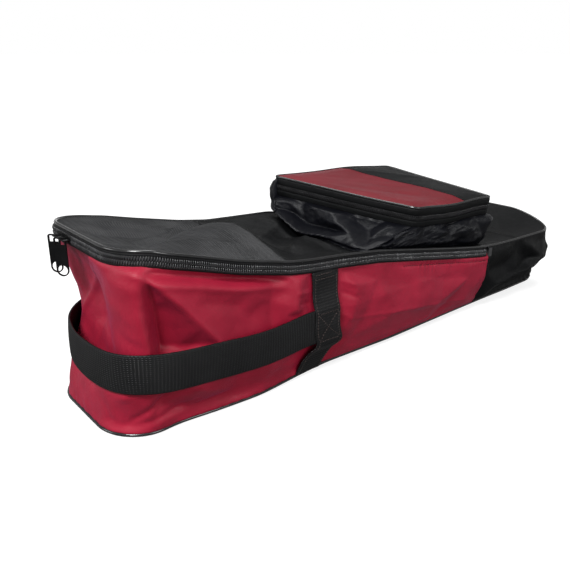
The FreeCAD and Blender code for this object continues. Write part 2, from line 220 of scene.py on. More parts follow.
def make_piece(name, points, body, replaces, material, uv=None, flip=False, closed=False, quads=None):
    """Mesh piece from a grid of points in mm; uv is in mm too, so that a weave has its real size."""
    if quads is None:
        quads = grid_quads(*points.shape[:2], wrap_cols=closed)
    if flip:
        quads = quads[:, ::-1]
    mesh = bpy.data.meshes.new(name)
    co = to_metres(points).reshape(-1, 3)
    mesh.vertices.add(len(co))
    mesh.vertices.foreach_set("co", co.astype(np.float32).ravel())
    mesh.loops.add(quads.size)
    mesh.loops.foreach_set("vertex_index", quads.astype(np.int32).ravel())
    mesh.polygons.add(len(quads))
    mesh.polygons.foreach_set("loop_start", np.arange(0, quads.size, 4, dtype=np.int32))
    mesh.polygons.foreach_set("use_smooth", np.ones(len(quads), bool))
    if uv is not None:
        layer = mesh.uv_layers.new(name="weave")
        layer.data.foreach_set("uv", (uv / 1000).reshape(-1, 2)[quads.ravel()].astype(np.float32).ravel())
    mesh.update(calc_edges=True)
    mesh.validate()
    mesh.materials.append(material)
    obj = bpy.data.objects.new(name, mesh)
    bpy.context.scene.collection.objects.link(obj)
    if body == "pocket_flap":
        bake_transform(obj)
    elif body:
        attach(obj, body)
    if replaces:
        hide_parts(*replaces)
    return obj


def thicken(obj, mm, lining=None, offset=-1):
    """Gives a sheet its thickness, inwards; the inner face may have its own material."""
    mod = obj.modifiers.new("thickness", "SOLIDIFY")
    mod.thickness, mod.offset = mm / 1000, offset
    if lining:
        obj.data.materials.append(lining)
        mod.material_offset = 1
    return obj


# ---- the bag's outline ------------------------------------
def outline(q, x0, x1, half, r=CORNER_R):
    """Plan position and outward direction at lap coordinate q, on a rounded rectangle."""
    q = np.mod(np.asarray(q, float) + ARC / 2, LAP)
    x0, x1, half = (np.broadcast_to(np.asarray(a, float), q.shape) for a in (x0, x1, half))
    out = np.zeros(q.shape + (4,))
    start = 0.0
    corners = ((x0 + r, r - half, 180), (x1 - r, r - half, 270),
               (x1 - r, half - r, 0), (x0 + r, half - r, 90))
    runs = (SIDE_RUN, END_RUN, SIDE_RUN, END_RUN)
    for i, ((cx, cy, a0), run) in enumerate(zip(corners, runs)):
        angle = np.radians(a0 + 90 * (q - start) / ARC)
        arc = np.stack([cx + r * np.cos(angle), cy + r * np.sin(angle), np.cos(angle), np.sin(angle)], -1)
        out = np.where(((q >= start) & (q < start + ARC))[..., None], arc, out)
        start += ARC
        t = (q - start) / run
        nx, ny = ((0, -1), (1, 0), (0, 1), (-1, 0))[i]
        bx, by, _ = corners[(i + 1) % 4]
        straight = np.stack([cx + r * nx + (bx - cx) * t, cy + r * ny + (by - cy) * t,
                             np.full(q.shape, nx), np.full(q.shape, ny)], -1)
        out = np.where(((q >= start) & (q < start + run))[..., None], straight, out)
        start += run
    return out


# how far the edge of the base is drawn in, and how far it stands off the ground, along the bag
FOOT_TUCK = [(30, 2), (62, 6), (106, 2), (156, 0), (212, 6), (255, 8), (358, 8), (536, 11), (660, 12),
             (714, 12)]
FOOT_LIFT = [(0, 0.5), (156, 1), (212, 3), (255, 5), (358, 4.5), (536, 8), (660, 11), (714, 12)]
TUCK_TOP = 62                     # the walls have left the drawn-in foot behind at this height


def lift_at(x):
    return curve_through(FOOT_LIFT, x, 25)


def tuck_at(x, z, top=TUCK_TOP):
    return curve_through(FOOT_TUCK, x, 25) * (1 - smoothstep(0, top, z))


def base_outline(q):
    return outline(q, BASE_X0, BASE_X1, BASE_HALF)


def rim_outline(q):
    return outline(q, RIM_X0, RIM_X1, RIM_HALF)


def foot_lift(q):
    return lift_at(base_outline(q)[..., 0])


def wall_outline(q, z):
    """The walls lean from the base outline to the rim outline, and are upright above."""
    q, z = np.broadcast_arrays(np.asarray(q, float), np.asarray(z, float))
    t = np.clip(z / FLARE_TOP, 0, 1)
    tuck = tuck_at(base_outline(q)[..., 0], z)
    return outline(q, BASE_X0 + (RIM_X0 - BASE_X0) * t, BASE_X1 + (RIM_X1 - BASE_X1) * t - tuck / 2,
                   BASE_HALF + (RIM_HALF - BASE_HALF) * t - tuck)


# how far the rim sags below its slope, or rises above it, along the bag
FRONT_RIM_SAG = [(11, 0), (25, 2), (40, 4), (86, -1), (128, -6), (188, -9), (214, -8), (256, -4), (318, 0),
                 (720, 0)]
BACK_RIM_SAG = [(11, 0), (79, 0), (113, -2), (169, -4), (207, -3), (247, 2), (300, 9), (360, 9), (430, 4),
                (500, 0), (720, 0)]
FAR_RISE = 14.0                   # the far end is held up by the stiff seam round it


def rim_height(x, y):
    """Rim line: a slope that levels out at the hinge, sagging where the limp fabric gives way."""
    u = SLOPE_END - np.asarray(x, float)
    z = FAR_HEIGHT + (NEAR_HEIGHT - FAR_HEIGHT) / SLOPE_END * (u + np.sqrt(u * u + SLOPE_ROUND ** 2)) / 2
    side = np.clip(np.asarray(y, float) / RIM_HALF, -1, 1)
    front, back = smoothstep(0, 0.85, -side), smoothstep(0, 0.85, side)
    far_rise = FAR_RISE * smoothstep(590, 705, x) * smoothstep(-0.95, -0.1, side)
    return z + front * curve_through(FRONT_RIM_SAG, x) + back * curve_through(BACK_RIM_SAG, x) + far_rise


def rim_top(q):
    place = rim_outline(q)
    return rim_height(place[:, 0], place[:, 1])


def stand_off(place, out, z):
    """Points at height z, moved outwards from places that an outline gave."""
    x, y = place[..., 0] + place[..., 2] * out, place[..., 1] + place[..., 3] * out
    return np.stack([x, y, z + 0 * x], -1)


def rim_points(q, section):
    """Points off the rim: section is a list of (outward, below) offsets, one column of points each."""
    q = np.asarray(q, float)
    out, below = np.array(section, float).T
    return stand_off(rim_outline(q)[:, None], out, rim_top(q)[:, None] - below)


def circle(out, below, radius, count=12):
    a = ring_angles(count)
    return np.stack([out + radius * np.cos(a), below - radius * np.sin(a)], -1)


def band_piece(name, q, section, body, replaces, material):
    """Closed section swept along the rim."""
    uv = mapped(np.asarray(q)[:, None], run_along(section)[None, :])
    return make_piece(name, rim_points(q, section), body, replaces, material, uv, closed=True)


def coil_piece(name, path, out_dir, up_dir, body, replaces, material):
    """Helix of thin wire along a path of evenly spaced points, drawn as a tube."""
    half_height, half_depth, wire, per_turn = 1.9, 0.8, 0.5, 8
    run = run_along(path)
    count = int(run[-1] / COIL_PITCH) * per_turn
    s = np.linspace(0, run[-1], count)
    turn = 2 * math.pi * np.arange(count)[:, None] / per_turn
    radial = (read_at(s, run, out_dir) * np.cos(turn) * half_depth
              + read_at(s, run, up_dir) * np.sin(turn) * half_height)
    middle = read_at(s, run, path) + radial
    side = unit(radial)
    other = np.cross(unit(np.gradient(middle, axis=0)), side)
    a = ring_angles(4)[None, :, None]
    points = middle[:, None] + wire * (side[:, None] * np.cos(a) + other[:, None] * np.sin(a))
    return make_piece(name, points, body, replaces, material, closed=True)


def stitch_piece(name, rows, body, material, length, pitch, thick):
    """Thread stitches along rows of (points, outward directions): each is a small bowed spindle."""
    rings = 4
    ends = np.array([[3, 2, 1, 0], [12, 13, 14, 15]])
    rise = np.array([0.0, 1.0, 1.0, 0.0])[:, None] * thick * 0.6
    width = np.array([0.35, 1.0, 1.0, 0.35])[:, None, None] * thick / 2
    a = ring_angles(4)[None, :, None]
    all_points, all_quads = [], []
    for path, normals in rows:
        run = run_along(path)
        for start in np.arange(0.5, run[-1] - length, pitch):
            s = start + np.linspace(0, length, rings)
            centre, out = read_at(s, run, path), read_at(s, run, normals)
            side = unit(np.cross(out, centre[-1] - centre[0]))
            ring = side[:, None] * np.cos(a) + out[:, None] * np.sin(a)
            first = 4 * rings * len(all_points)
            all_points.append(((centre + out * rise)[:, None] + width * ring).reshape(-1, 3))
            all_quads += [grid_quads(rings, 4, first, wrap_cols=True), ends + first]
    return make_piece(name, np.concatenate(all_points), body, (), material,
                      quads=np.concatenate(all_quads))


# ---- materials --------------------------------------------
def new_material(name):
    material = bpy.data.materials.new(name)
    material.use_nodes = True
    return material, material.node_tree, material.node_tree.nodes["Principled BSDF"]


def set_inputs(tree, node, inputs):
    """Gives each input a constant or another node's output."""
    for key, value in inputs.items():
        if isinstance(value, bpy.types.NodeSocket):
            tree.links.new(value, node.inputs[key])
        else:
            node.inputs[key].default_value = value


def add_node(tree, kind, output, inputs=None, **settings):
    """Adds a shader node and returns one of its outputs."""
    node = tree.nodes.new("ShaderNode" + kind)
    for key, value in settings.items():
        setattr(node, key, value)
    set_inputs(tree, node, inputs or {})
    return node.outputs[output]


def add_noise(tree, coords, scale, detail=2.0, distortion=0.0):
    return add_node(tree, "TexNoise", "Fac", {"Vector": coords, "Scale": scale, "Detail": detail,
                                              "Distortion": distortion})


def add_ramp(tree, factor, stops):
    """Colours at (position, colour) stops, blended in between."""
    colours = add_node(tree, "ValToRGB", "Color", {"Fac": factor})
    elements = colours.node.color_ramp.elements
    while len(elements) < len(stops):
        elements.new(0.5)
    for element, (position, colour) in zip(elements, stops):
        element.position, element.color = position, (*colour, 1)
    return colours


def add_range(tree, value, low, high=1.0):
    return add_node(tree, "MapRange", "Result", {"Value": value, "To Min": low, "To Max": high})


def add_bump(tree, height, depth_mm, under=None):
    inputs = {"Height": height, "Strength": 1.0, "Distance": depth_mm / 1000}
    if under:
        inputs["Normal"] = under
    return add_node(tree, "Bump", "Normal", inputs)


def weave_height(tree, pitches):
    """Crossed bands with these pitches in mm, for the warp and the weft, multiplied."""
    place = add_node(tree, "UVMap", "UV", uv_map="weave")
    scales = [2 * math.pi / (20 * pitch / 1000) for pitch in pitches]
    warp, weft = (add_node(tree, "TexWave", "Fac", {"Vector": place, "Scale": scale},
                           wave_type="BANDS", bands_direction=direction)
                  for direction, scale in zip("XY", scales))
    return add_node(tree, "Math", 0, {0: warp, 1: weft}, operation="MULTIPLY")


PATCH = 0.035                     # size in metres of the soft patches in a cloth's colour


def cloth_material(name, colour, deep, roughness, weave, weave_depth, specular, wrinkle=0.0,
                   sheen=0.0, sheen_tint=(1, 1, 1)):
    """Woven fabric: colour drifts towards deep in soft patches; the hollows of the weave are darkened, a
    painted shade.
    """
    material, tree, shader = new_material(name)
    coords = add_node(tree, "TexCoord", "Object")
    height = weave_height(tree, weave)
    drift = add_noise(tree, coords, 1 / PATCH, 4)
    # base colour: random patches of tone, multiplied darker in the weave's hollows as painted shade
    patches_and_weave_shade = add_node(tree, "Mix", "Result", {
        "Factor": 0.35, "A": add_ramp(tree, drift, [(0.32, deep), (0.66, colour)]),
        "B": add_range(tree, height, 0.55)}, data_type="RGBA", blend_type="MULTIPLY")
    wrinkles = add_bump(tree, add_noise(tree, coords, 70, 3, 0.6), wrinkle) if wrinkle else None
    set_inputs(tree, shader, {
        "Base Color": patches_and_weave_shade, "Roughness": add_range(tree, drift, roughness - 0.05, roughness + 0.07),
        "Normal": add_bump(tree, height, weave_depth, wrinkles), "Specular IOR Level": specular,
        "Sheen Weight": sheen, "Sheen Tint": (*sheen_tint, 1), "Sheen Roughness": 0.4})
    return material


def solid_material(name, colour, worn, roughness, grain, depth, specular=0.5, coat=0.0):
    """Moulded plastic, cord sheath or painted metal, with fine grain and paler rubbed patches."""
    material, tree, shader = new_material(name)
    coords = add_node(tree, "TexCoord", "Object")
    rub = add_noise(tree, coords, 60, 5)
    set_inputs(tree, shader, {
        "Base Color": add_ramp(tree, rub, [(0.45, colour), (0.75, worn)]),
        "Roughness": add_range(tree, rub, roughness - 0.06, roughness + 0.1),
        "Normal": add_bump(tree, add_noise(tree, coords, 1 / grain), depth),
        "Coat Weight": coat, "Coat Roughness": 0.12, "Specular IOR Level": specular})
    return material


RED_CLOTH = cloth_material("red nylon", (0.36, 0.012, 0.036), (0.28, 0.008, 0.026), 0.40, (1.0, 1.0), 0.10,
                           0.26, 0.5, 0.10, (1.0, 0.25, 0.6))
FLAP_RED = cloth_material("flap red nylon", (0.155, 0.007, 0.014), (0.125, 0.005, 0.010), 0.42, (1.0, 1.0),
                          0.12, 0.2, 0.25, 0.05, (1.0, 0.4, 0.5))
BLACK_CLOTH = cloth_material("black oxford cloth", (0.0042, 0.0045, 0.005), (0.0026, 0.0028, 0.003), 0.48,
                             (1.2, 1.2), 0.16, 0.12, 0.4)
RIB_CLOTH = cloth_material("ribbed cloth", (0.024, 0.0245, 0.026), (0.011, 0.0115, 0.0125), 0.5,
                           (1.2, 1.2), 0.12, 0.25, sheen=0.02)
THIN_NYLON = cloth_material("thin black nylon", (0.0035, 0.0038, 0.006), (0.0022, 0.0024, 0.004), 0.38,
                            (0.7, 0.7), 0.05, 0.2, 0.6)
LINING = cloth_material("coated lining", (0.012, 0.012, 0.014), (0.008, 0.008, 0.009), 0.5, (0.9, 0.9), 0.06,
                        0.25, 0.5)
WEBBING = cloth_material("black webbing", (0.008, 0.008, 0.0085), (0.004, 0.004, 0.0045), 0.45, (3.3, 1.9),
                         0.5, 0.3)
TAPE_CLOTH = cloth_material("zipper tape", (0.0045, 0.0045, 0.005), (0.003, 0.003, 0.0035), 0.5, (0.9, 0.9),
                            0.08, 0.15)
CORD_PLASTIC = solid_material("piping sheath", (0.006, 0.006, 0.0065), (0.012, 0.012, 0.013), 0.24, 0.0015,
                              0.05, 0.4, coat=0.6)
# the coil's grey, lighter than the tapes', is partly its own colour and partly a painted highlight on its
# turns
COIL_PLASTIC = solid_material("zipper coil", (0.035, 0.035, 0.037), (0.07, 0.07, 0.074), 0.24, 0.0008, 0.02,
                              0.6)
POCKET_COIL = solid_material("pocket zipper coil", (0.014, 0.014, 0.015), (0.025, 0.025, 0.027), 0.3, 0.0008,
                             0.02, 0.3)
BLACK_METAL = solid_material("painted metal", (0.0015, 0.0015, 0.0018), (0.004, 0.004, 0.0045), 0.32, 0.0009,
                             0.02, 0.25)
BOARD = solid_material("stiffener board", (0.035, 0.035, 0.037), (0.06, 0.06, 0.062), 0.55, 0.0012, 0.08)
RED_THREAD = solid_material("dark red thread", (0.02, 0.002, 0.004), (0.04, 0.003, 0.006), 0.55, 0.0005, 0.03)
BROWN_THREAD = solid_material("brown thread", (0.10, 0.07, 0.065), (0.14, 0.10, 0.09), 0.55, 0.0005, 0.03)


# ---- red and black walls ----------------------------------
WALL_FOOT = 3.0
WALL_STEP = 2.2
FRONT_END_Q = front_q(BINDING_X)
BACK_END_Q = float(mirror_q(FRONT_END_Q))

# (q, height, outward) corners of the flat facets that the limp fabric folds into
FRONT_FACETS = [
    # near end, pushed in above the handle
    (-78, 172, -1), (-78, 150, -10), (-78, 122, -17), (-78, 95, -16), (-78, 72, -8), (-78, 40, 1),
    (-78, 14, 1), (-60, 171, -1), (-66, 135, -12), (-58, 100, -11), (-58, 66, -4), (-58, 34, 2),
    (-44, 171, 1), (-50, 140, -5), (-44, 112, -6), (-38, 84, -5), (-36, 45, 2), (-34, 14, 0), (-28, 160, 0),
    (-20, 130, 0), (-14, 104, 0), (-14, 78, -1), (-10, 46, 3), (-5, 13, -2),
    # ridge of the near front corner and the dark hollow beside it
    (-12, 170, 2), (9, 163, 6), (7, 148, 8), (7, 134, 8), (8, 120, 8), (10, 105, 7), (12, 92, 5),
    (16, 70, -2), (14, 46, 2), (13, 152, -2), (14, 142, -6), (15, 130, -10), (17, 116, -13), (19, 100, -16),
    (22, 84, -18), (28, 126, -7), (36, 104, -11), (45, 82, -13), (62, 82, -8), (50, 66, -6), (21, 152, 5),
    (30, 141, 5), (39, 130, 5), (48, 119, 5), (58, 107, 5), (68, 95, 5), (78, 84, 4), (60, 140, 3),
    (90, 122, 1),
    # front panel as far as the side strap
    (112, 130, 2), (118, 100, -3), (128, 147, -3), (149, 136, 0), (149, 108, -5), (149, 75, -5),
    (110, 62, 1), (178, 122, 3), (176, 96, 4), (182, 66, 1), (200, 128, -2), (200, 88, -3), (200, 40, -3),
    # fan of folds from the base near the corner
    (38, 46, -4), (28, 32, -5), (60, 40, 4), (84, 32, 3), (112, 18, -3), (60, 17, -1), (20, 18, 1),
    (150, 40, 3), (150, 16, 0),
    # beyond the strap
    (242, 118, -2), (242, 80, -3), (242, 40, -3), (262, 100, 3), (258, 60, 3), (268, 30, 1), (300, 96, 0),
    (338, 50, 4), (340, 26, 1), (372, 84, -1), (420, 38, 4), (430, 70, -2), (430, 18, 0), (488, 27, 3),
    (480, 60, 0), (512, 60, 0), (512, 30, 1), (470, 86, 0),
]
BACK_FACETS = [
    (-78, 122, -17), (-78, 95, -16), (-78, 72, -8), (-78, 172, -1), (-78, 150, -10), (-78, 40, 1),
    (-78, 14, 1), (-60, 168, -3), (-56, 144, -10), (-52, 116, -15), (-52, 86, -14), (-50, 50, -5),
    (-46, 16, 0), (-30, 162, -3), (-24, 136, -8), (-20, 106, -13), (-18, 78, -12), (-14, 46, -4),
    (-8, 14, -1), (4, 168, 0), (8, 148, 0), (4, 118, -7), (6, 86, -10), (8, 54, -5), (16, 30, 1),
    (34, 158, 3), (38, 128, 2), (40, 96, -3), (44, 62, -1), (50, 34, 3), (60, 14, 0), (80, 150, -3),
    (84, 122, 4), (92, 88, -3), (96, 56, 2), (110, 24, -2), (124, 140, 1), (136, 104, -4), (146, 72, 3),
    (150, 36, 0), (172, 120, 3), (176, 88, -1), (182, 50, 3), (200, 128, -2), (200, 88, -3), (200, 40, -3),
    (242, 118, -2), (242, 80, -3), (242, 40, -3), (264, 106, 3), (270, 66, 5), (280, 28, 1), (312, 92, -2),
    (330, 54, 4), (360, 78, 1), (372, 32, 2), (404, 90, -2), (416, 56, 4), (440, 26, 1), (470, 74, -2),
    (486, 44, 3), (512, 60, 0), (512, 30, 1),
]
FRONT_CREASES = [
    ((-14, 173), (12, 159), 2.5, 2.0), ((9, 164), (12, 84), 2.5, 2.0), ((10, 163), (84, 78), 2.5, 2.2),
    ((-48, 173), (-138, 72), 3.5, 2.6), ((-66, 150), (-60, 112), 5, -1.5), ((-6, 40), (-10, 62), 6, 2.0),
    ((-2, 14), (34, 44), 4, -3.0), ((2, 12), (70, 26), 4, -2.5), ((30, 18), (112, 19), 3.5, -1.6),
    ((54, 44), (100, 24), 6, 1.8), ((-30, 30), (-20, 12), 4, -1.2), ((60, 128), (110, 112), 7, -1.4),
    ((90, 146), (140, 132), 6, -1.4), ((120, 120), (170, 96), 8, 1.6), ((176, 110), (200, 104), 3, 1.6),
    ((178, 98), (200, 92), 3, -1.4), ((180, 82), (200, 80), 3, 1.2), ((242, 108), (262, 100), 3, 1.6),
    ((242, 96), (266, 84), 3, -1.6), ((242, 70), (262, 60), 3, 1.2), ((254, 60), (400, 40), 3, 1.0),
    ((400, 40), (490, 24), 3, 0.9), ((300, 90), (380, 74), 9, -1.0), ((340, 96), (420, 66), 10, 0.9),
    ((440, 80), (500, 50), 8, -0.7), ((150, 30), (196, 22), 5, 1.2),
]


def puckers(q, distance, pitch, reach, depth, seed):
    """Small gathers beside a seam, fading within reach of it."""
    phase = 2 * math.pi * (q / pitch + 0.8 * noise(q, 0 * q, 3 * pitch, seed))
    strength = 0.5 + 0.5 * noise(q, 0 * q, 4 * pitch, seed + 1)
    return depth * strength * np.sin(phase) * np.exp(-np.clip(distance, 0, None) / reach)


SEAM_BELOW_ZIP = 9.0              # row of stitches under the zipper band, beyond the side strap
SEAM_FROM_Q = 344.0
FRONT_FOLD_DEPTH, FAR_FOLD_DEPTH = 1.4, 1.25
ZIP_GROOVE, ZIP_SWELL = (-8.0, 7.5, 5.0), (1.5, 17.0, 4.0)      # outward, below the wall's edge, width
STRAP_HOLD = 22                   # the straps hold the wall flat this far from their middle
WALL_BORDER = [(s, h, 0) for s in (-78, -20, 40, 120, 200, 300, 400, 530) for h in (-20, 215)]
WALL_BORDER += [(530, 60, 0)]
BACK_CREASES = [((a[0] + 9, a[1] - 6), (b[0] - 4, b[1] + 5), width * 1.2, height)
                for a, b, width, height in FRONT_CREASES if a[0] > 60]


def wall_folds(q, z, top):
    """Outward displacement of the red wall; q and z are grids and top is the wall's upper edge."""
    above, below_top = z - WALL_FOOT - foot_lift(q[0])[None, :], top - z
    front = facets(FRONT_FACETS + WALL_BORDER, q, z)
    back = facets(BACK_FACETS + WALL_BORDER, mirror_q(q), z)
    folds = FRONT_FOLD_DEPTH * blur(np.where(q >= NEAR_MIDDLE_Q, front, back), 2)
    folds += creases(q, z, FRONT_CREASES) + creases(mirror_q(q), z, BACK_CREASES)
    folds += 0.6 * noise(q, z * 1.3, 34, 3) + 0.35 * noise(q + z, z - 0.4 * q, 15, 4)
    along = np.where(q >= NEAR_MIDDLE_Q, q, mirror_q(q))
    # a groove under the zipper and the swell below it, as far as the side strap
    under_zip = smoothstep(4, 20, along) * (1 - smoothstep(125, 190, along))
    for height, below, width in (ZIP_GROOVE, ZIP_SWELL):
        folds += height * under_zip * np.exp(-((below_top - below) / width) ** 2)
    # the handle keeps the cloth from bulging behind it, and the straps hold it flat
    behind_handle = smoothstep(36, 44, z) * (1 - smoothstep(84, 92, z)) * smoothstep(90, 130, along)
    folds -= behind_handle * (1 - smoothstep(235, 245, along)) * np.clip(folds - 0.2, 0, None)
    hold = sum(np.exp(-((np.abs(s - front_q(STRAP_X)) / STRAP_HOLD) ** 4)) for s in (q, mirror_q(q)))
    fade = smoothstep(0, 9, above) * smoothstep(-2, 9, below_top)
    folds = folds * fade * (1 - hold) - 1.6 * hold
    folds += puckers(q, above, 14, 8, 0.35, 11) + puckers(q, below_top, 8, 6, 0.5, 21)
    gathered = smoothstep(330, 350, np.abs(q)) * smoothstep(-6, 3, below_top)
    folds += gathered * puckers(q, np.abs(below_top - SEAM_BELOW_ZIP), 6.5, 6, 1.1, 25)
    folds -= 0.8 * gathered * np.exp(-((below_top - SEAM_BELOW_ZIP) / 1.6) ** 2)
    return folds - 2.2 * (1 - smoothstep(0, 5, below_top))


def build_wall(name, replaces, material, q0, q1, below_rim, folds, rows):
    """Wall from its lifted foot up to an edge below the rim."""
    q = np.linspace(q0, q1, int((q1 - q0) / WALL_STEP) + 1)
    top = rim_top(q) - below_rim
    low = WALL_FOOT + foot_lift(q)
    z = low[None, :] + (top - low)[None, :] * np.linspace(0, 1, rows)[:, None]
    grid_q = np.broadcast_to(q[None, :], z.shape)
    out = folds(grid_q, z, np.broadcast_to(top[None, :], z.shape))
    points = stand_off(wall_outline(grid_q, z), out, z)
    thicken(make_piece(name, points, "bag", replaces, material, mapped(grid_q, z)), WALL_CLOTH, LINING)


def build_red_wall():
    build_wall("wall_red", ["near_wall", "front_wall", "back_wall"], RED_CLOTH, BACK_END_Q,
               FRONT_END_Q + 1, TAPE_BOTTOM - 2, wall_folds, 74)
    rows = []
    ends = (SEAM_FROM_Q, FRONT_END_Q - 6)
    for q0, q1 in (ends, [float(mirror_q(q)) for q in reversed(ends)]):
        q = np.linspace(q0, q1, 200)
        top = rim_top(q) - TAPE_BOTTOM + 2
        z = (top - SEAM_BELOW_ZIP)[None, :]
        place = wall_outline(q[None, :], z)[0]
        out = wall_folds(q[None, :], z, top[None, :])[0] + 0.55
        rows.append((stand_off(place, out, z[0]), np.stack([place[:, 2], place[:, 3], 0 * q], -1)))
    stitch_piece("wall_thread", rows, "bag", RED_THREAD, 2.4, 4.2, 0.8)


FAR_FACETS = [
    (516, 60, 0), (540, 84, 2), (545, 35, 7), (560, 60, -3), (560, 16, -1), (585, 78, 0), (585, 40, 6),
    (600, 90, 0), (618, 46, 10), (619, 58, -4), (612, 30, -6), (640, 60, 8), (640, 36, -5), (660, 80, 0),
    (668, 52, 6), (690, 34, -4), (690, 14, 2), (700, 70, 2), (716, 46, 5), (735, 74, -3), (748, 40, 4),
    (763, 60, -6), (763, 24, 2), (763, 88, 0),
]
FAR_CREASES = [
    ((545, 36), (618, 47), 3, 3.0), ((618, 47), (645, 62), 3, 3.0), ((601, 90), (620, 55), 4, 2.0),
    ((660, 76), (720, 40), 6, 2.5),
]
FAR_BORDER = [(s, h, 0) for s in (510, 560, 620, 680, 720, 765) for h in (-15, 120)]
FAR_MIDDLE_Q = ARC * 1.5 + SIDE_RUN + END_RUN / 2


def far_folds(q, z, top):
    """The black far end hangs looser: a horizontal fold pushes out above a hollow."""
    is_front = q < FAR_MIDDLE_Q
    side = np.where(is_front, q, 2 * FAR_MIDDLE_Q - q)
    folds = blur(facets(FAR_FACETS + FAR_BORDER, side, z), 2) * np.where(is_front, 1.0, 0.8)
    folds += creases(side, z, FAR_CREASES)
    folds += 1.2 * noise(q, z * 1.4, 28, 7) + 0.5 * noise(q - z, z + 0.3 * q, 12, 8)
    above = z - WALL_FOOT - foot_lift(q[0])[None, :]
    fade = smoothstep(0, 8, above) * smoothstep(0, 7, top - z)
    ends = smoothstep(0, 12, q - FRONT_END_Q) * smoothstep(0, 12, LAP + BACK_END_Q - q)
    gathers = puckers(q, above, 12, 7, 0.8, 31) + puckers(q, top - z, 9, 5, 0.5, 41)
    return FAR_FOLD_DEPTH * folds * fade * ends + gathers


def build_far_wall():
    build_wall("wall_far", ["far_wall"], BLACK_CLOTH, FRONT_END_Q + 1, LAP + BACK_END_Q,
               PIPING - 1.5, far_folds, 44)


def build_bindings():
    """Black tape bound over the seam between the red and the black fabric."""
    section = [(-1.2, -2.6), (0.3, -2.4), (0.9, -1.2), (1.0, 0), (0.9, 1.2), (0.3, 2.4), (-1.2, 2.6)]
    out, along = np.array(section).T
    for side, q_mid in (("front", FRONT_END_Q + 1.2), ("back", BACK_END_Q - 1.2)):
        z = np.linspace(WALL_FOOT + float(foot_lift(q_mid)), FAR_HEIGHT - 1.0, 60)[:, None]
        wobble = 0.5 * np.sin(z / 9.0) + 0.3 * np.sin(z / 4.1)
        points = stand_off(wall_outline(q_mid + along + wobble, z), out + 0.35 * np.sin(z / 3.0), z)
        make_piece("binding_" + side, points, "bag", ["seam_binding_" + side], TAPE_CLOTH,
                   mapped(along, z))


# ---- base -------------------------------------------------
BASE_STEP = 7.0
CLOTH_INSET, BOARD_INSET, BOARD_RAISED = 1.0, 12.0, 4.8
CORD_RAISED = 1.5                 # the piping's place on the leaning wall, above the lifted foot
CORD_MIDDLE_Z = 2.2


def plan_cloth(name, points, body, node, material=BLACK_CLOTH, thick=LID_CLOTH, flip=True):
    """Lined cloth whose weave is laid out flat as seen from above."""
    piece = make_piece(name, points, body, [node], material, points[..., :2], flip)
    return thicken(piece, thick, LINING)


def disc_points(inset, shape, rows):
    """Grid over the base inside an inset: columns across it, closer together in the round corners."""
    x0, x1, half, r = BASE_X0 + inset, BASE_X1 - inset, BASE_HALF - inset, CORNER_R - inset
    corner = r * (1 - np.cos(np.linspace(0, math.pi / 2, 13)))
    middle = np.linspace(x0 + r, x1 - r, int((x1 - x0 - 2 * r) / BASE_STEP) + 2)[1:-1]
    x = np.concatenate([x0 + corner, middle, x1 - corner[::-1]])
    near, far = np.clip(x0 + r - x, 0, r), np.clip(x - x1 + r, 0, r)
    half_width = half - r + np.sqrt(np.clip(r * r - np.maximum(near, far) ** 2, 0, None))
    y = half_width[:, None] * np.linspace(-1, 1, rows)[None, :]
    grid_x = np.broadcast_to(x[:, None], y.shape)
    return np.stack([grid_x, y, shape(grid_x, y)], -1)


def build_base():
    """Fabric under the bag, bulging a little between its piped edges, and the board that lies on it."""
    def slack(x, y):
        """Edge of the cloth at the piping's height, its middle on the ground."""
        lift = lift_at(x)
        edge = np.minimum(BASE_HALF - 4 - np.abs(y), np.minimum(x - 4, BASE_X1 - 4 - x))
        low = 0.3 + 0.25 * (1 + noise(x, y, 30, 51))
        return low + (2.3 + lift) * (1 - smoothstep(-2, 16 + 2 * lift, edge))

    def drawn_in(points, inset):
        """Follows the edge of the base, which is drawn in towards the far end."""
        x, y = points[..., 0], points[..., 1]
        edge_z = lift_at(x) + CORD_RAISED
        tuck = tuck_at(x, edge_z) - (RIM_HALF - BASE_HALF) * edge_z / FLARE_TOP
        points[..., 1] = y * (1 - tuck / (BASE_HALF - inset))
        points[..., 0] = x - tuck / 2 * smoothstep(BASE_X1 - 60, BASE_X1, x)
        return points

    points = drawn_in(disc_points(CLOTH_INSET, slack, 45), CLOTH_INSET)
    plan_cloth("base_cloth", points, "bag", "base_panel", BLACK_CLOTH, WALL_CLOTH, flip=False)
    points = disc_points(BOARD_INSET, lambda x, y: slack(x, y) + BOARD_RAISED, 25)
    board = make_piece("base_stiffener", drawn_in(points, BOARD_INSET), "bag", ["base_board"],
                       BOARD, flip=True)
    thicken(board, BOARD_THICK)

    q = np.arange(0, LAP, 3.0)
    out, down = circle(-0.6, 0, CORD_RADIUS).T
    wave = 0.5 * noise(q, 0 * q, 60, 61)
    place = wall_outline(q, foot_lift(q) + CORD_RAISED)
    points = stand_off(place[:, None], out + wave[:, None], CORD_MIDDLE_Z + foot_lift(q)[:, None] - down)
    make_piece("base_cord", np.concatenate([points, points[:1]]), "bag", ["base_piping"],
               CORD_PLASTIC, closed=True)


# ---- lid --------------------------------------------------
class HeightField:
    """Heights on a regular grid, rounded off and read anywhere in between."""

    def __init__(self, points, x0, x1, y0, y1, step, passes):
        self.x = np.arange(x0, x1 + step, step)
        self.y = np.arange(y0, y1 + step, step)
        self.step = step
        u, v = np.meshgrid(self.x, self.y, indexing="ij")
        self.grid = blur(facets(points, u, v), passes)

    def at(self, x, y):
        a = np.clip((x - self.x[0]) / self.step, 0, len(self.x) - 1.001)
        b = np.clip((y - self.y[0]) / self.step, 0, len(self.y) - 1.001)
        i, j = a.astype(int), b.astype(int)
        fa, fb = a - i, b - j
        g = self.grid
        return ((g[i, j] * (1 - fa) + g[i + 1, j] * fa) * (1 - fb)
                + (g[i, j + 1] * (1 - fa) + g[i + 1, j + 1] * fa) * fb)


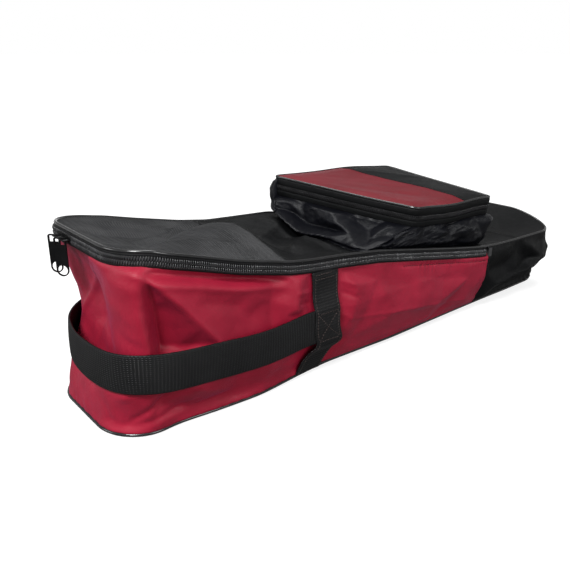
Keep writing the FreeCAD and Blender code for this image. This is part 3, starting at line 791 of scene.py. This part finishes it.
LID_FACETS = [
    (11, -44, 0), (11, 44, 0), (30, -30, -3), (34, 20, -5), (60, -66, -1), (58, -26, -6), (66, 36, -7),
    (96, -74, 2), (98, -40, 2), (100, 10, -10), (100, 56, -5), (128, -74, 5), (128, -36, 7), (120, 0, 1),
    (136, 34, -11), (138, 66, -4), (154, -72, 7), (158, -36, 11), (156, 0, 9), (164, 34, 3), (170, 60, -7),
    (187, -60, 5), (187, -24, 8), (188, 12, 8), (190, 44, 5), (190, 74, -1), (216, -66, -2), (214, -26, -4),
    (216, 18, -6), (222, 62, -6), (229, -26, -9), (252, -60, -3), (262, -30, -4), (266, 24, -11),
    (272, 66, -3), (290, -70, -6), (292, -10, -4), (306, 30, -11), (304, 66, -2), (345, -60, -6),
    (350, 50, -3), (350, 0, -8), (430, -60, -4), (430, 0, -6), (430, 60, -6), (500, -60, -2), (500, 0, -3),
    (500, 60, -2),
]
LID_EDGE_X = (-10, 40, 80, 120, 160, 188, 240, 280, 330, 400, 470, 531, 560)
LID_EDGE = [(x, y, 0) for x in LID_EDGE_X for y in (-93, 93)]
LID_EDGE += [(x, y, 0) for x in (-10, 531, 560) for y in (-60, -20, 20, 60)]
LID_FIELD = HeightField(LID_FACETS + LID_EDGE, -10, 560, -93, 93, 3.0, 3)


def half_width_at(x, inset):
    """Half the width of the rim outline at x, inside an inset."""
    r = CORNER_R - inset
    near = np.clip(RIM_X0 + inset + r - x, 0, r)
    far = np.clip(x - RIM_X1 + inset + r, 0, r)
    return RIM_HALF - inset - r + np.sqrt(np.clip(r * r - np.maximum(near, far) ** 2, 0, None))


LID_CREASES = [
    ((26, 40), (120, 34), 6, -2.5), ((60, 70), (150, 52), 5, 2.2), ((70, 4), (150, 58), 4, 2.6),
    ((62, -22), (178, 64), 5, -2.6), ((60, -30), (150, -64), 9, 1.6), ((225, -40), (300, 10), 8, 2.0),
    ((225, 20), (300, 60), 7, 2.4), ((250, -70), (318, -66), 5, 1.4), ((232, 64), (236, -80), 5, -2.4),
    ((284, 80), (292, -66), 6, 2.2),
]
FAR_TOP_CREASES = [((612, -60), (690, 20), 8, 2.4), ((606, 30), (680, 66), 7, -2.0),
                   ((540, -40), (592, 50), 6, 1.6)]
SEAM_INSET = 2.4                  # the lid's cloth starts here, inside the piping
BELOW_RIM = 1.4
LID_ROWS = 75
RIB_PITCH, RIB_HEIGHT = 2.8, 0.6


def lid_height(x, y):
    """Top of the lid's cloth."""
    x, y = np.asarray(x, float), np.asarray(y, float)
    edge = np.minimum(half_width_at(x, SEAM_INSET) - np.abs(y), x - RIM_X0 - SEAM_INSET)
    sag = 1.3 * LID_FIELD.at(x, y) * (0.25 + 0.75 * smoothstep(0, 26, edge))
    folds = creases(x, y, LID_CREASES) + 0.7 * noise(x, y, 26, 71) + 0.3 * noise(x + y, y - x, 11, 72)
    fade = smoothstep(0, 14, edge) * (1 - smoothstep(500, 531, x))
    return rim_height(x, y) - BELOW_RIM + sag + 1.4 * folds * fade


def ribbed_height(x, y):
    return lid_height(x, y) + RIB_HEIGHT * np.cos(2 * math.pi * x / RIB_PITCH)


def far_top_height(x, y):
    """Fixed cloth beyond the hinge, slightly slack between the seams."""
    edge = np.minimum(half_width_at(x, SEAM_INSET) - np.abs(y), RIM_X1 - SEAM_INSET - x)
    seam = np.minimum(np.abs(x - FAR_SEAM_X), np.abs(x - HINGE_X))
    sag = -5.0 * smoothstep(0, 50, edge) * smoothstep(0, 26, seam)
    folds = creases(x, y, FAR_TOP_CREASES) + 0.8 * noise(x, y, 24, 81)
    folds *= smoothstep(0, 14, edge) * smoothstep(HINGE_X, HINGE_X + 25, x)
    return rim_height(x, y) - BELOW_RIM + sag + folds


def fold_height(x, y):
    """The cloth over the hinge passes from the lid's shape to that of the fixed top."""
    t = smoothstep(FOLD_X0, FOLD_X1, x)
    return lid_height(x, y) * (1 - t) + far_top_height(x, y) * t


def cloth_columns(x0, x1, step, round_near=False, round_far=False):
    """Places of a cloth's columns, closer together where the outline is round."""
    r = CORNER_R - SEAM_INSET
    corner = r * (1 - np.cos(np.linspace(0, math.pi / 2, int(r / step) + 8)))
    start, end = x0 + r * round_near, x1 - r * round_far
    middle = np.linspace(start, end, int((end - start) / step) + 1)
    return np.concatenate([x0 + corner[:-1]] * round_near + [middle] + [x1 - corner[-2::-1]] * round_far)


def lid_grid(columns, height):
    y = half_width_at(columns, SEAM_INSET)[:, None] * np.linspace(-1, 1, LID_ROWS)[None, :]
    x = np.broadcast_to(columns[:, None], y.shape)
    return np.stack([x, y, height(x, y)], -1)


def cross_seam(name, body, node, seam_x, profile, wander, wander_length, height):
    """Doubled edge of cloth, sewn down from side to side across the top."""
    across = np.linspace(-1, 1, 120) * (RIM_HALF - SEAM_INSET)
    along, rise = np.array(profile).T
    x = seam_x + along + wander * np.sin(across / wander_length)[:, None]
    y = across[:, None] + 0 * x
    points = np.stack([x, y, height(x, y) + rise], -1)
    make_piece(name, points, body, [node], BLACK_CLOTH, points[..., :2])


def build_lid():
    near = lid_grid(cloth_columns(RIM_X0 + SEAM_INSET, LID_SEAM_X, 0.57, round_near=True), ribbed_height)
    plan_cloth("lid_cloth_near", near, "lid", "lid_near_panel", RIB_CLOTH)
    middle = lid_grid(cloth_columns(LID_SEAM_X, FOLD_X0, 3.0), lid_height)
    plan_cloth("lid_cloth_middle", middle, "lid", "lid_middle_panel")
    profile = [(-2.6, 0.1), (-1.6, 0.9), (-0.3, 1.0), (0.1, 0.3), (0.5, 1.0), (1.6, 0.9), (2.6, 0.1)]
    cross_seam("lid_seam", "lid", "lid_cross_seam", LID_SEAM_X, profile, 0.4, 13.0, lid_height)


def build_far_top():
    far = lid_grid(cloth_columns(FOLD_X1, RIM_X1 - SEAM_INSET, 2.6, round_far=True),
                   lambda x, y: np.where(x < FOLD_X1 + 0.1, fold_height(x, y), far_top_height(x, y)))
    plan_cloth("far_top_cloth", far, "bag", "far_top_panel")
    profile = [(-3.0, 0.1), (-2.0, 0.9), (-0.4, 1.1), (0.0, 0.4), (0.5, 0.9), (2.0, 0.8), (3.0, 0.1)]
    cross_seam("far_seam", "bag", "far_cross_seam", FAR_SEAM_X, profile, 0.5, 17.0, far_top_height)

    # the cloth and the two ends of piping over the hinge
    columns = np.linspace(FOLD_X0, FOLD_X1, 27)
    fold = blend_ends((FOLD_X0, 0, FAR_HEIGHT), (FOLD_X1, 0, FAR_HEIGHT))
    piece = plan_cloth("hinge_cloth", lid_grid(columns, fold_height), None, "hinge_panel")
    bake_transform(piece)
    for side, q in (("front", front_q(columns)), ("back", mirror_q(front_q(columns[::-1])))):
        cord = make_piece("hinge_cord_" + side, rim_points(q, CORD_SECTION), None, (),
                          CORD_PLASTIC, closed=True)
        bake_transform(cord)


# ---- zipper round the lid ---------------------------------
CORD_SECTION = circle(-CORD_RADIUS, CORD_RADIUS, CORD_RADIUS)
LID_TAPE = [(-1.2, 2.6), (-0.1, 3.2), (0.2, 4.2), (0.0, 5.2), (-0.5, 5.9), (-0.9, 7.4), (-1.9, 7.2),
            (-1.9, 3.0)]
BODY_TAPE = [(-0.9, 10.6), (-0.5, 12.0), (-0.1, 12.3), (0.6, 12.8), (0.9, 13.8), (0.7, 14.8),
             (-0.2, 15.3), (-1.6, 15.0), (-1.9, 10.8)]
COIL_OUT, COIL_FROM_AXIS = 0.7, 2.05


def span(q0, q1, step=2.5):
    return np.linspace(q0, q1, int((q1 - q0) / step) + 1)


def near_span(x, step=2.5):
    """Lap coordinates from x on the back, round the near end, to x on the front."""
    return span(mirror_q(front_q(x)), front_q(x), step)


def build_zipper():
    far, zipped = span(front_q(FOLD_X1), LAP + mirror_q(front_q(FOLD_X1))), near_span(ZIP_END_X)
    for name, q, section, body, slot, node, material in (
            ("lid_cord", near_span(FOLD_X0), CORD_SECTION, "lid", "piping", "lid_piping", CORD_PLASTIC),
            ("far_cord", far, CORD_SECTION, "bag", "piping", "far_top_piping", CORD_PLASTIC),
            ("zipper_band_lid", zipped, LID_TAPE, "lid", "zip_tape", "zip_tape_lid", TAPE_CLOTH),
            ("zipper_band_body", zipped, BODY_TAPE, "bag", "zip_tape", "zip_tape_body", TAPE_CLOTH)):
        band_piece(name, q, section, body, [node], material)
    q = near_span(ZIP_END_X, 1.0)
    place = rim_outline(q)
    out = np.stack([place[:, 2], place[:, 3], 0 * q], -1)
    up = np.broadcast_to([0.0, 0.0, 1.0], out.shape)
    for half, body, below in (("lid", "lid", ZIP_AXIS - COIL_FROM_AXIS),
                              ("body", "bag", ZIP_AXIS + COIL_FROM_AXIS)):
        path = rim_points(q, [(COIL_OUT, below)])[:, 0]
        coil_piece("zipper_coil_" + half, path, out, up, body, ["zip_coil_" + half], COIL_PLASTIC)


# ---- webbing ----------------------------------------------
WEB_RIB_PITCH, WEB_RIB_HEIGHT, SELVEDGE = 3.3, 0.26, 1.2
HANDLE_Z, HANDLE_WIDTH = 63.0, 38.0
STRAP_FOOT, STRAP_STEP = 4.6, 0.55
THREAD_INSET, BOX_HALF = 3.2, 16  # the box of stitches over the handle's end
STRAP_Y = [(0, 81), (3, 83.2), (15, 85.4), (31, 88.2), (39, 95.0), (45, 96.6), (63, 97.6), (82, 97.0),
           (90, 94.8), (100, 93.6), (140, 93.4)]
STRAP_LEAN = [(0, -13), (20, -9), (42, 5), (62, 0), (100, -2), (150, 0)]


def web_ribs(along, across, half):
    """Raised cross ribs between plain selvedges."""
    inside = smoothstep(0, SELVEDGE, half - np.abs(across))
    return WEB_RIB_HEIGHT * np.cos(2 * math.pi * along / WEB_RIB_PITCH) * inside - 0.35 * (1 - inside)


def strap_surface(z, x, side):
    """Outer face of a side strap: over the handle's end and snug to the wall elsewhere."""
    return side * (curve_through(STRAP_Y, z, 5.0) - tuck_at(x, z, 40) + 0.5 * noise(x, z, 18, 91))


def strap_middle(z):
    """Middle line of a side strap, which was not sewn quite straight."""
    return STRAP_X + curve_through(STRAP_LEAN, z, 9.0) + 0.7 * np.sin(z / 11.0) + 0.4 * np.sin(z / 5.3)


def strap_thread(a, b, side):
    """Line of stitches from a to b, given as (across the strap, height)."""
    t = np.linspace(0, 1, 60)
    z = a[1] + (b[1] - a[1]) * t
    x = strap_middle(z) + a[0] + (b[0] - a[0]) * t
    line = np.stack([x, strap_surface(z, x, side) + side * 0.25, z], -1)
    return line, np.broadcast_to([0.0, float(side), 0.0], line.shape)


def build_side_straps():
    half, low, high = STRAP_WIDTH / 2 - THREAD_INSET, HANDLE_Z - BOX_HALF, HANDLE_Z + BOX_HALF
    for name, side in (("front", -1), ("back", 1)):
        top = float(rim_height(STRAP_X, side * RIM_HALF)) - TAPE_BOTTOM - 0.4
        z = np.linspace(STRAP_FOOT, top, int((top - STRAP_FOOT) / STRAP_STEP))[:, None]
        across = np.linspace(-1, 1, 34)[None, :] * STRAP_WIDTH / 2
        x = strap_middle(z) + across * (1 + 0.03 * np.sin(z / 19.0))
        y = strap_surface(z, x, side) + side * web_ribs(z, across, STRAP_WIDTH / 2)
        strap = make_piece("girth_strap_" + name, np.stack([x, y, z + 0 * x], -1), "bag",
                           ["side_strap_" + name], WEBBING, mapped(z, across), flip=side > 0)
        thicken(strap, WEB)
        corners = ((-half, low), (half, low), (half, high), (-half, high))
        lines = [*zip(corners, corners[1:] + corners[:1]), corners[::2], corners[3::-2],
                 ((-half, 6), (-half, low)), ((half, 6), (half, low)), ((-half, high), (-half, top - 3)),
                 ((half, high), (half, top - 3)), ((-half, top - 3), (half, top - 3)),
                 ((-half, top - 8), (half, top - 8))]
        stitch_piece("girth_thread_" + name, [strap_thread(a, b, side) for a, b in lines], "bag",
                     BROWN_THREAD, 2.4, 3.4, 0.42)


def smooth_path(points, step):
    """Cubic B-spline near given points and through the first and last, sampled at equal steps."""
    p = np.array([points[0], points[0], *points, points[-1], points[-1]], float)
    t = np.linspace(0, 1, 24, endpoint=False)[:, None]
    path = np.concatenate([((1 - t) ** 3 * p[i] + (3 * t ** 3 - 6 * t ** 2 + 4) * p[i + 1]
                            + (-3 * t ** 3 + 3 * t ** 2 + 3 * t + 1) * p[i + 2] + t ** 3 * p[i + 3]) / 6
                           for i in range(len(p) - 3)])
    run = run_along(path)
    s = np.linspace(0, run[-1], int(run[-1] / step) + 1)
    return read_at(s, run, path), s


HANDLE_ROUTE = [
    (254, -94.9, 63), (236, -94.9, 64), (212, -95.0, 66), (172, -97.5, 61), (134, -99.5, 63),
    (100, -100, 66.5), (72, -100, 68.5), (46, -98.5, 70), (20, -89.5, 71.5), (4, -68, 70.5), (-1, -36, 69),
    (-1, 0, 68.5), (4, 32, 68.5), (15, 58, 69), (36, 80, 70), (64, 93, 71), (100, 97.5, 71), (150, 97, 68),
    (204, 95.0, 65), (236, 94.9, 63), (254, 94.9, 63),
]
LOOP_MIDDLE = np.array([120.0, 0.0, 70.0])
HANDLE_GIVE = [(210, 0, 63), (-270, 0, 63)]     # a line along the bag at the handle's height


def build_handle():
    path, s = smooth_path(HANDLE_ROUTE, STRAP_STEP)
    tangent = unit(np.gradient(path, axis=0))
    up = unit(np.array([0.0, 0.0, 1.0]) - tangent * tangent[:, 2:3])
    out = unit(np.cross(tangent, up) * (1, 1, 0))
    out *= np.sign(((path - LOOP_MIDDLE) * out).sum(1))[:, None]
    half, along = HANDLE_WIDTH / 2, s[:, None]
    across = np.linspace(-1, 1, 36)[None, :] * half
    free = smoothstep(0, 60, along) * smoothstep(0, 60, s[-1] - along)
    cup, lean = -0.9 * (across / half) ** 2, 0.05 * np.sin(along / 70.0)
    shape = cup + lean * across + 0.5 * noise(along, across, 30, 95)
    outward = web_ribs(along, across, half) + shape * free
    points = path[:, None] + up[:, None] * across[..., None] + out[:, None] * outward[..., None]
    handle = make_piece("handle_webbing", points, None, ["end_handle"], WEBBING,
                        mapped(along, across))
    thicken(handle, WEB, offset=0)
    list(blend_ends(*HANDLE_GIVE))
    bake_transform(handle)


# ---- pocket on the lid ------------------------------------
POCKET_LEAN = math.radians(8.5)
POCKET_DOWN = np.array([0.0, math.sin(POCKET_LEAN), -math.cos(POCKET_LEAN)])
# corners in the order near front, far front, far back, near back
POCKET_TOP = np.array([(380, -90, 168), (531, -88, 162), (522, 88, 180), (308, 91, 190)], float)
POCKET_BASE = np.array([(305, -82, 0), (534, -80, 0), (530, 84, 0), (303, 80, 0)], float)
POCKET_BAND_END = 25.0
POCKET_ZIP_END_Y = 83.0
LOOP_SIDE = 150                   # samples along each side of the pocket
WHOLE_LOOP = np.arange(4 * LOOP_SIDE + 1) % (4 * LOOP_SIDE)


def pocket_loop(corners, rounding):
    """Closed path round the pocket, LOOP_SIDE points a side, with its corners rounded."""
    t = np.linspace(0, 1, LOOP_SIDE, endpoint=False)[:, None]
    loop = np.concatenate([corners[i] * (1 - t) + corners[(i + 1) % 4] * t for i in range(4)])
    taps = int(rounding)
    weights = np.cos(np.linspace(-1, 1, 2 * taps + 1) * math.pi / 2) ** 2
    return sum(w * np.roll(loop, k, axis=0) for k, w in zip(range(-taps, taps + 1), weights)) / weights.sum()


def loop_normals(loop):
    tangent = np.roll(loop, -1, axis=0) - np.roll(loop, 1, axis=0)
    out = np.stack([tangent[:, 1], -tangent[:, 0], 0 * tangent[:, 0]], -1)
    return out / np.linalg.norm(out, axis=1)[:, None]


def pocket_top_loop():
    loop = pocket_loop(POCKET_TOP, 15)
    x, y = loop[:, 0], loop[:, 1]
    loop[:, 2] += 3.0 * np.exp(-((x - 440) / 50) ** 2) * smoothstep(30, 86, y)
    loop[:, 2] += 1.2 * np.sin(x / 19.0) * smoothstep(40, -84, y)
    return loop


POCKET_LOOP = pocket_top_loop()
POCKET_OUT = loop_normals(POCKET_LOOP)


def pocket_points(index, section):
    """Points off the pocket's top edge: section is a list of (outward, below)."""
    out, below = np.array(section, float).T
    return (POCKET_LOOP[index][:, None] + POCKET_OUT[index][:, None] * out[None, :, None]
            + POCKET_DOWN * below[None, :, None])


def zip_index():
    """Loop samples with a zipper: all but the back and the ends of the sides next to it."""
    order = np.roll(np.arange(4 * LOOP_SIDE), LOOP_SIDE)
    return order[POCKET_LOOP[order, 1] < POCKET_ZIP_END_Y]


ZIP_INDEX = zip_index()


def pocket_band(name, section, body, replaces, material, index=ZIP_INDEX):
    """Closed section swept along the pocket's top edge."""
    uv = mapped(run_along(POCKET_LOOP[index])[:, None], np.array(section)[None, :, 1])
    return make_piece(name, pocket_points(index, section), body, replaces, material, uv, closed=True)


FLAP_CREASES = [((360, 20), (430, -50), 9, -1.2), ((440, 60), (500, 10), 8, 1.4)]


def flap_patch(u, v):
    """Coons patch inside the pocket's top edge; u runs from near to far and v from front to back."""
    loop = POCKET_LOOP - POCKET_OUT * 2.2 + POCKET_DOWN * 0.8
    n = LOOP_SIDE
    front, far, back, near = (loop[WHOLE_LOOP[i * n:i * n + n + 1]] for i in range(4))
    back, near = back[::-1], near[::-1]

    def along(side, t):
        return read_at(np.clip(t, 0, 1) * n, np.arange(n + 1), side)

    u3, v3 = u[..., None], v[..., None]
    ruled = (1 - v3) * along(front, u) + v3 * along(back, u) + (1 - u3) * along(near, v) + u3 * along(far, v)
    points = ruled - ((1 - u3) * (1 - v3) * front[0] + u3 * (1 - v3) * front[-1]
                      + (1 - u3) * v3 * back[0] + u3 * v3 * back[-1])
    inner = smoothstep(0, 22, np.minimum(np.minimum(u, 1 - u) * 200, np.minimum(v, 1 - v) * 170))
    x, y = points[..., 0], points[..., 1]
    swell = 2.6 + 0.9 * noise(x, y, 42, 101) + 0.35 * noise(x + y, y, 16, 102) + creases(x, y, FLAP_CREASES)
    return points - POCKET_DOWN * (inner * swell)[..., None]


def colour_seam_u(v):
    """Where the red part of the flap ends, from 0 at the near edge to 1 at the far edge."""
    return 0.625 - 0.08 * v + 0.01 * np.sin(2 * math.pi * v)


FLAP_CORD = circle(-1.7, 1.7, 1.7)
UPPER_BAND = [(-2.2, 2.4), (-0.4, 3.0), (0.3, 4.4), (0.2, 7.0), (0.5, 9.4), (0.2, 10.4), (-0.8, 10.8),
              (-2.4, 10.4)]
UPPER_TAPE = [(-1.4, 10.2), (-0.5, 10.6), (-0.3, 12.0), (-0.8, 12.8), (-1.6, 12.6), (-2.2, 10.6)]
LOWER_TAPE = [(-1.6, 15.4), (-0.8, 15.2), (-0.3, 16.0), (-0.4, 17.6), (-1.2, 18.4), (-2.2, 18.0)]
LOWER_BAND = [(-1.8, 17.4), (-0.2, 17.8), (0.5, 18.8), (0.2, 20.8), (0.4, 23.4), (0.0, 24.8), (-1.0, 25.4),
              (-2.2, 24.8)]


def build_flap():
    a, v = np.meshgrid(np.linspace(0, 1, 60), np.linspace(0, 1, 64), indexing="ij")
    seam = colour_seam_u(v)
    for colour, u, material in (("red", seam * a, FLAP_RED), ("black", seam + (1 - seam) * a, BLACK_CLOTH)):
        plan_cloth("flap_cloth_" + colour, flap_patch(u, v), "pocket_flap",
                   "flap_" + colour + "_panel", material, FLAP_CLOTH)
    # raised edge of the black part where it is sewn over the red
    t = np.linspace(0.012, 0.988, 90)[:, None]
    shift = np.array([-0.0050, -0.0042, 0.0, 0.010])[None, :]
    lift = np.array([0.0, 0.7, 0.9, 0.1])[None, :, None]
    points = flap_patch(colour_seam_u(t) + shift, t + 0 * shift) - POCKET_DOWN * lift
    make_piece("flap_seam", points, "pocket_flap", (), BLACK_CLOTH, points[..., :2])
    pocket_band("flap_cord", FLAP_CORD, "pocket_flap", ["flap_piping"], CORD_PLASTIC, WHOLE_LOOP)


def build_pocket_zip():
    for name, section, body, slot, node, material in (
            ("flap_band", UPPER_BAND, "pocket_flap", "black_fabric", "flap_upper_band", BLACK_CLOTH),
            ("pocket_tape_upper", UPPER_TAPE, "pocket_flap", "zip_tape", "pocket_zip_tape_upper", TAPE_CLOTH),
            ("pocket_tape_lower", LOWER_TAPE, "lid", "zip_tape", "pocket_zip_tape_lower", TAPE_CLOTH),
            ("pocket_band", LOWER_BAND, "lid", "black_fabric", "pocket_lower_band", BLACK_CLOTH)):
        pocket_band(name, section, body, [node], material)
    for name, body, below, node in (("pocket_coil_top", "pocket_flap", 13.1, "pocket_coil_upper"),
                                    ("pocket_coil_bottom", "lid", 14.95, "pocket_coil_lower")):
        path = pocket_points(ZIP_INDEX, [(0.0, below)])[:, 0]
        up = np.broadcast_to(-POCKET_DOWN, path.shape)
        coil_piece(name, path, POCKET_OUT[ZIP_INDEX], up, body, [node], POCKET_COIL)


# (side of the pocket and way along it, height from 0 to 70, outward) corners of the nylon's large folds;
# side 0 is the front from near to far, 1 the far side, 2 the back and 3 the near side from back to front
GUSSET_FOLDS = [
    (0.05, 12, 9), (0.08, 34, -7), (0.06, 56, 3), (0.16, 16, 2), (0.18, 40, 8), (0.20, 60, -5),
    (0.28, 12, 8), (0.30, 34, -3), (0.34, 56, 4), (0.42, 18, 3), (0.44, 42, 9), (0.48, 60, -4),
    (0.54, 12, 7), (0.56, 34, 1), (0.62, 54, 6), (0.68, 18, 1), (0.72, 38, 10), (0.80, 58, 2), (0.82, 16, 8),
    (0.88, 36, 3), (0.95, 20, 2), (0.96, 52, 8), (1.06, 14, 7), (1.10, 38, -3), (1.16, 58, 5), (1.26, 20, 2),
    (1.34, 44, 9), (1.44, 16, 7), (1.50, 40, -2), (1.60, 58, 5), (1.66, 20, 8), (1.76, 44, 1), (1.86, 18, 3),
    (1.92, 50, 7), (2.05, 20, 5), (2.14, 48, -3), (2.26, 24, 6), (2.38, 52, 1), (2.50, 22, -2),
    (2.62, 46, 6), (2.74, 20, 4), (2.86, 50, -2), (2.95, 22, 6), (3.03, 10, 8), (3.04, 26, 3), (3.05, 50, 6),
    (3.12, 12, 13), (3.16, 34, -9), (3.14, 58, 1), (3.30, 12, 13), (3.30, 30, -10), (3.26, 50, -4),
    (3.34, 62, 6), (3.46, 11, 12), (3.46, 28, -10), (3.44, 48, 2), (3.50, 60, 8), (3.62, 10, 11),
    (3.60, 26, -8), (3.58, 42, 9), (3.66, 54, -5), (3.74, 10, 9), (3.73, 28, 10), (3.78, 44, -8),
    (3.84, 12, 12), (3.86, 30, -4), (3.88, 50, 7), (3.94, 10, 5), (3.96, 28, 9), (3.97, 48, -6),
]

FOLD_LEVELS = 70                  # the folds' heights are given on this scale
GUSSET_ROWS = 44


def build_gusset():
    """Thin nylon, longer than the pocket is tall, crumpled between its band and the seam on the lid."""
    base = pocket_loop(POCKET_BASE, 26)
    base[:, 2] = lid_height(base[:, 0], base[:, 1]) + 0.4
    under_band = POCKET_LOOP - POCKET_OUT * 1.2 + POCKET_DOWN * (POCKET_BAND_END - 1.0)
    under_flap = POCKET_LOOP - POCKET_OUT * 0.6 + POCKET_DOWN * 3.0
    top = np.where(POCKET_LOOP[:, 1:2] >= POCKET_ZIP_END_Y, under_flap, under_band)
    base, top, out = base[WHOLE_LOOP], top[WHOLE_LOOP], POCKET_OUT[WHOLE_LOOP]
    run = run_along(base)
    side = np.arange(len(run)) / LOOP_SIDE
    v = np.linspace(0, 1, GUSSET_ROWS)[:, None]
    height = (top[:, 2] - base[:, 2])[None, :]
    s = np.broadcast_to(run[None, :], (GUSSET_ROWS, len(run)))
    level = v * FOLD_LEVELS + 0 * s
    spots = [(float(np.interp(t, side, run)), z, d) for t, z, d in GUSSET_FOLDS]
    spots += [(u, z, 0) for u in (-60, run[-1] + 60) for z in (-6, 35, 80)]
    spots += [(float(np.interp(t, side, run)), z, 0) for t in np.arange(0, 4.01, 0.12) for z in (-6, 82)]
    bulge = blur(facets(spots, s, level), 2)
    arch = np.sin(math.pi * v)
    slump = 3.0 * arch + 1.6 * noise(s, level, 26, 112) + 0.9 * noise(s + level, level - s, 11, 113)
    free = smoothstep(0, 0.12, v) * smoothstep(0, 0.12, 1 - v) * np.clip(height / 30, 0.25, 1)
    gathers = puckers(s, v * height, 9.0, 7, 0.9, 121) + puckers(s, (1 - v) * height, 11.0, 7, 0.9, 131)
    corner = np.exp(-(np.minimum(side, 4 - side) / 0.10) ** 2)
    pleats = corner * 3.2 * np.sin(2 * math.pi * (s + 0.25 * level) / 15.0) * arch
    outward = (1.15 * bulge + slump + pleats) * free + gathers
    points = base * (1 - v[..., None]) + top * v[..., None] + out * outward[..., None]
    lid_top = lid_height(points[..., 0], points[..., 1])
    points[..., 2] = np.maximum(points[..., 2] + 0.35 * bulge * free, lid_top + 0.6)
    piece = make_piece("pocket_gusset_cloth", points, "lid", ["pocket_gusset", "pocket_back"],
                       THIN_NYLON, mapped(s, level))
    thicken(piece, THIN_CLOTH)


# ---- carried-over metal and stops -------------------------
def finish_cad_parts():
    metal = ("slider_front", "slider_back", "pull_front", "pull_back", "pocket_slider", "pocket_pull")
    for nodes, material in ((metal, BLACK_METAL), (("zip_stop_front", "zip_stop_back"), COIL_PLASTIC)):
        for node in nodes:
            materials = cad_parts[node].data.materials
            materials.clear()
            materials.append(material)


# ---- stage ------------------------------------------------
STAGE_HALF = 40.0                 # metres
LIGHTS = (("key", (-1.7, -0.9, 1.9), 0.7, 66.0), ("top", (0.3, 0.6, 2.2), 1.2, 24.0),
          ("front", (0.1, -2.3, 1.2), 1.4, 28.0), ("low", (-2.0, 0.7, 0.7), 0.8, 9.0))
LIT_PLACE = Vector((0.0, 0.0, 0.1))
# brightness of the surroundings from straight below to straight above
WORLD_BANDS = ((0.0, 0.16), (0.44, 0.16), (0.49, 1.0), (0.54, 1.0), (0.58, 0.26), (0.85, 0.34), (1.0, 0.34))
CAMERA_PLACE, CAMERA_YAW, CAMERA_PITCH = (-199.8, -562.9, 341.4), math.radians(51), math.radians(20)
SENSOR_WIDTH, FOCAL_LENGTH = 36.0, 41.05


def stage_piece(name, mesh, look, grey, emission, **inputs):
    """Glowing surface of the stage, which is no part of the bag."""
    obj = bpy.data.objects.new(name, mesh)
    bpy.context.scene.collection.objects.link(obj)
    material, tree, shader = new_material(look)
    set_inputs(tree, shader, {"Base Color": (grey, grey, grey, 1), "Specular IOR Level": 0.0,
                              "Emission Color": (1, 1, 1, 1), "Emission Strength": emission(tree), **inputs})
    mesh.materials.append(material)
    return obj


def floor_glow(tree):
    """The floor glows evenly white away from the bag and a little less under it."""
    place = add_node(tree, "TexCoord", "Object")
    distance = add_node(tree, "VectorMath", "Value", {0: place}, operation="LENGTH")
    return add_node(tree, "MapRange", "Result", {"Value": distance, "From Min": 0.5, "From Max": 2.5,
                                                 "To Min": 0.78, "To Max": 1.0},
                    interpolation_type="SMOOTHSTEP")


def build_stage():
    """White floor and soft studio light; the floor throws little light back, as in a dark room."""
    half = STAGE_HALF
    mesh = bpy.data.meshes.new("floor")
    corners = [(-half, -half, 0), (half, -half, 0), (half, half, 0), (-half, half, 0)]
    mesh.from_pydata(corners, [], [(0, 1, 2, 3)])
    floor = stage_piece("floor", mesh, "pale floor", 0.35, floor_glow, Roughness=0.9)
    floor.visible_diffuse = floor.visible_glossy = False

    # white backdrop all round, seen by the camera alone
    bm = bmesh.new()
    bmesh.ops.create_icosphere(bm, subdivisions=4, radius=half)
    bmesh.ops.reverse_faces(bm, faces=bm.faces)
    mesh = bpy.data.meshes.new("backdrop")
    bm.to_mesh(mesh)
    backdrop = stage_piece("backdrop", mesh, "white backdrop", 0.0, lambda tree: 1.0)
    for kind in ("diffuse", "glossy", "transmission", "shadow", "volume_scatter"):
        setattr(backdrop, "visible_" + kind, False)

    world = bpy.data.worlds.new("studio")
    world.use_nodes = True
    tree = world.node_tree
    direction = add_node(tree, "TexCoord", "Generated")
    upwards = add_node(tree, "SeparateXYZ", "Z", {"Vector": direction})
    height = add_node(tree, "MapRange", "Result", {"Value": upwards, "From Min": -1.0})
    colour = add_ramp(tree, height, [(position, (level, level, level)) for position, level in WORLD_BANDS])
    set_inputs(tree, tree.nodes["Background"], {"Color": colour})
    bpy.context.scene.world = world

    for name, place, size, power in LIGHTS:
        light = bpy.data.lights.new(name, "AREA")
        light.shape, light.size, light.energy = "DISK", size, power
        obj = bpy.data.objects.new(name, light)
        obj.location = place
        obj.rotation_euler = (LIT_PLACE - Vector(place)).to_track_quat("-Z", "Y").to_euler()
        bpy.context.scene.collection.objects.link(obj)


def build_camera():
    """Three-quarter view of the near front corner, from a little above."""
    camera = bpy.data.cameras.new("camera")
    camera.sensor_width, camera.lens = SENSOR_WIDTH, FOCAL_LENGTH
    obj = bpy.data.objects.new("camera", camera)
    bpy.context.scene.collection.objects.link(obj)
    level = math.cos(CAMERA_PITCH)
    look = Vector((math.cos(CAMERA_YAW) * level, math.sin(CAMERA_YAW) * level, -math.sin(CAMERA_PITCH)))
    obj.location = to_metres(CAMERA_PLACE)
    obj.rotation_mode = "QUATERNION"
    obj.rotation_quaternion = look.to_track_quat("-Z", "Y")
    bpy.context.scene.camera = obj


for build in (build_red_wall, build_far_wall, build_bindings, build_base, build_lid, build_far_top,
              build_zipper, build_side_straps, build_handle, build_flap, build_pocket_zip, build_gusset,
              finish_cad_parts, build_stage, build_camera):
    build()
bpy.context.scene.view_settings.view_transform = "Standard"
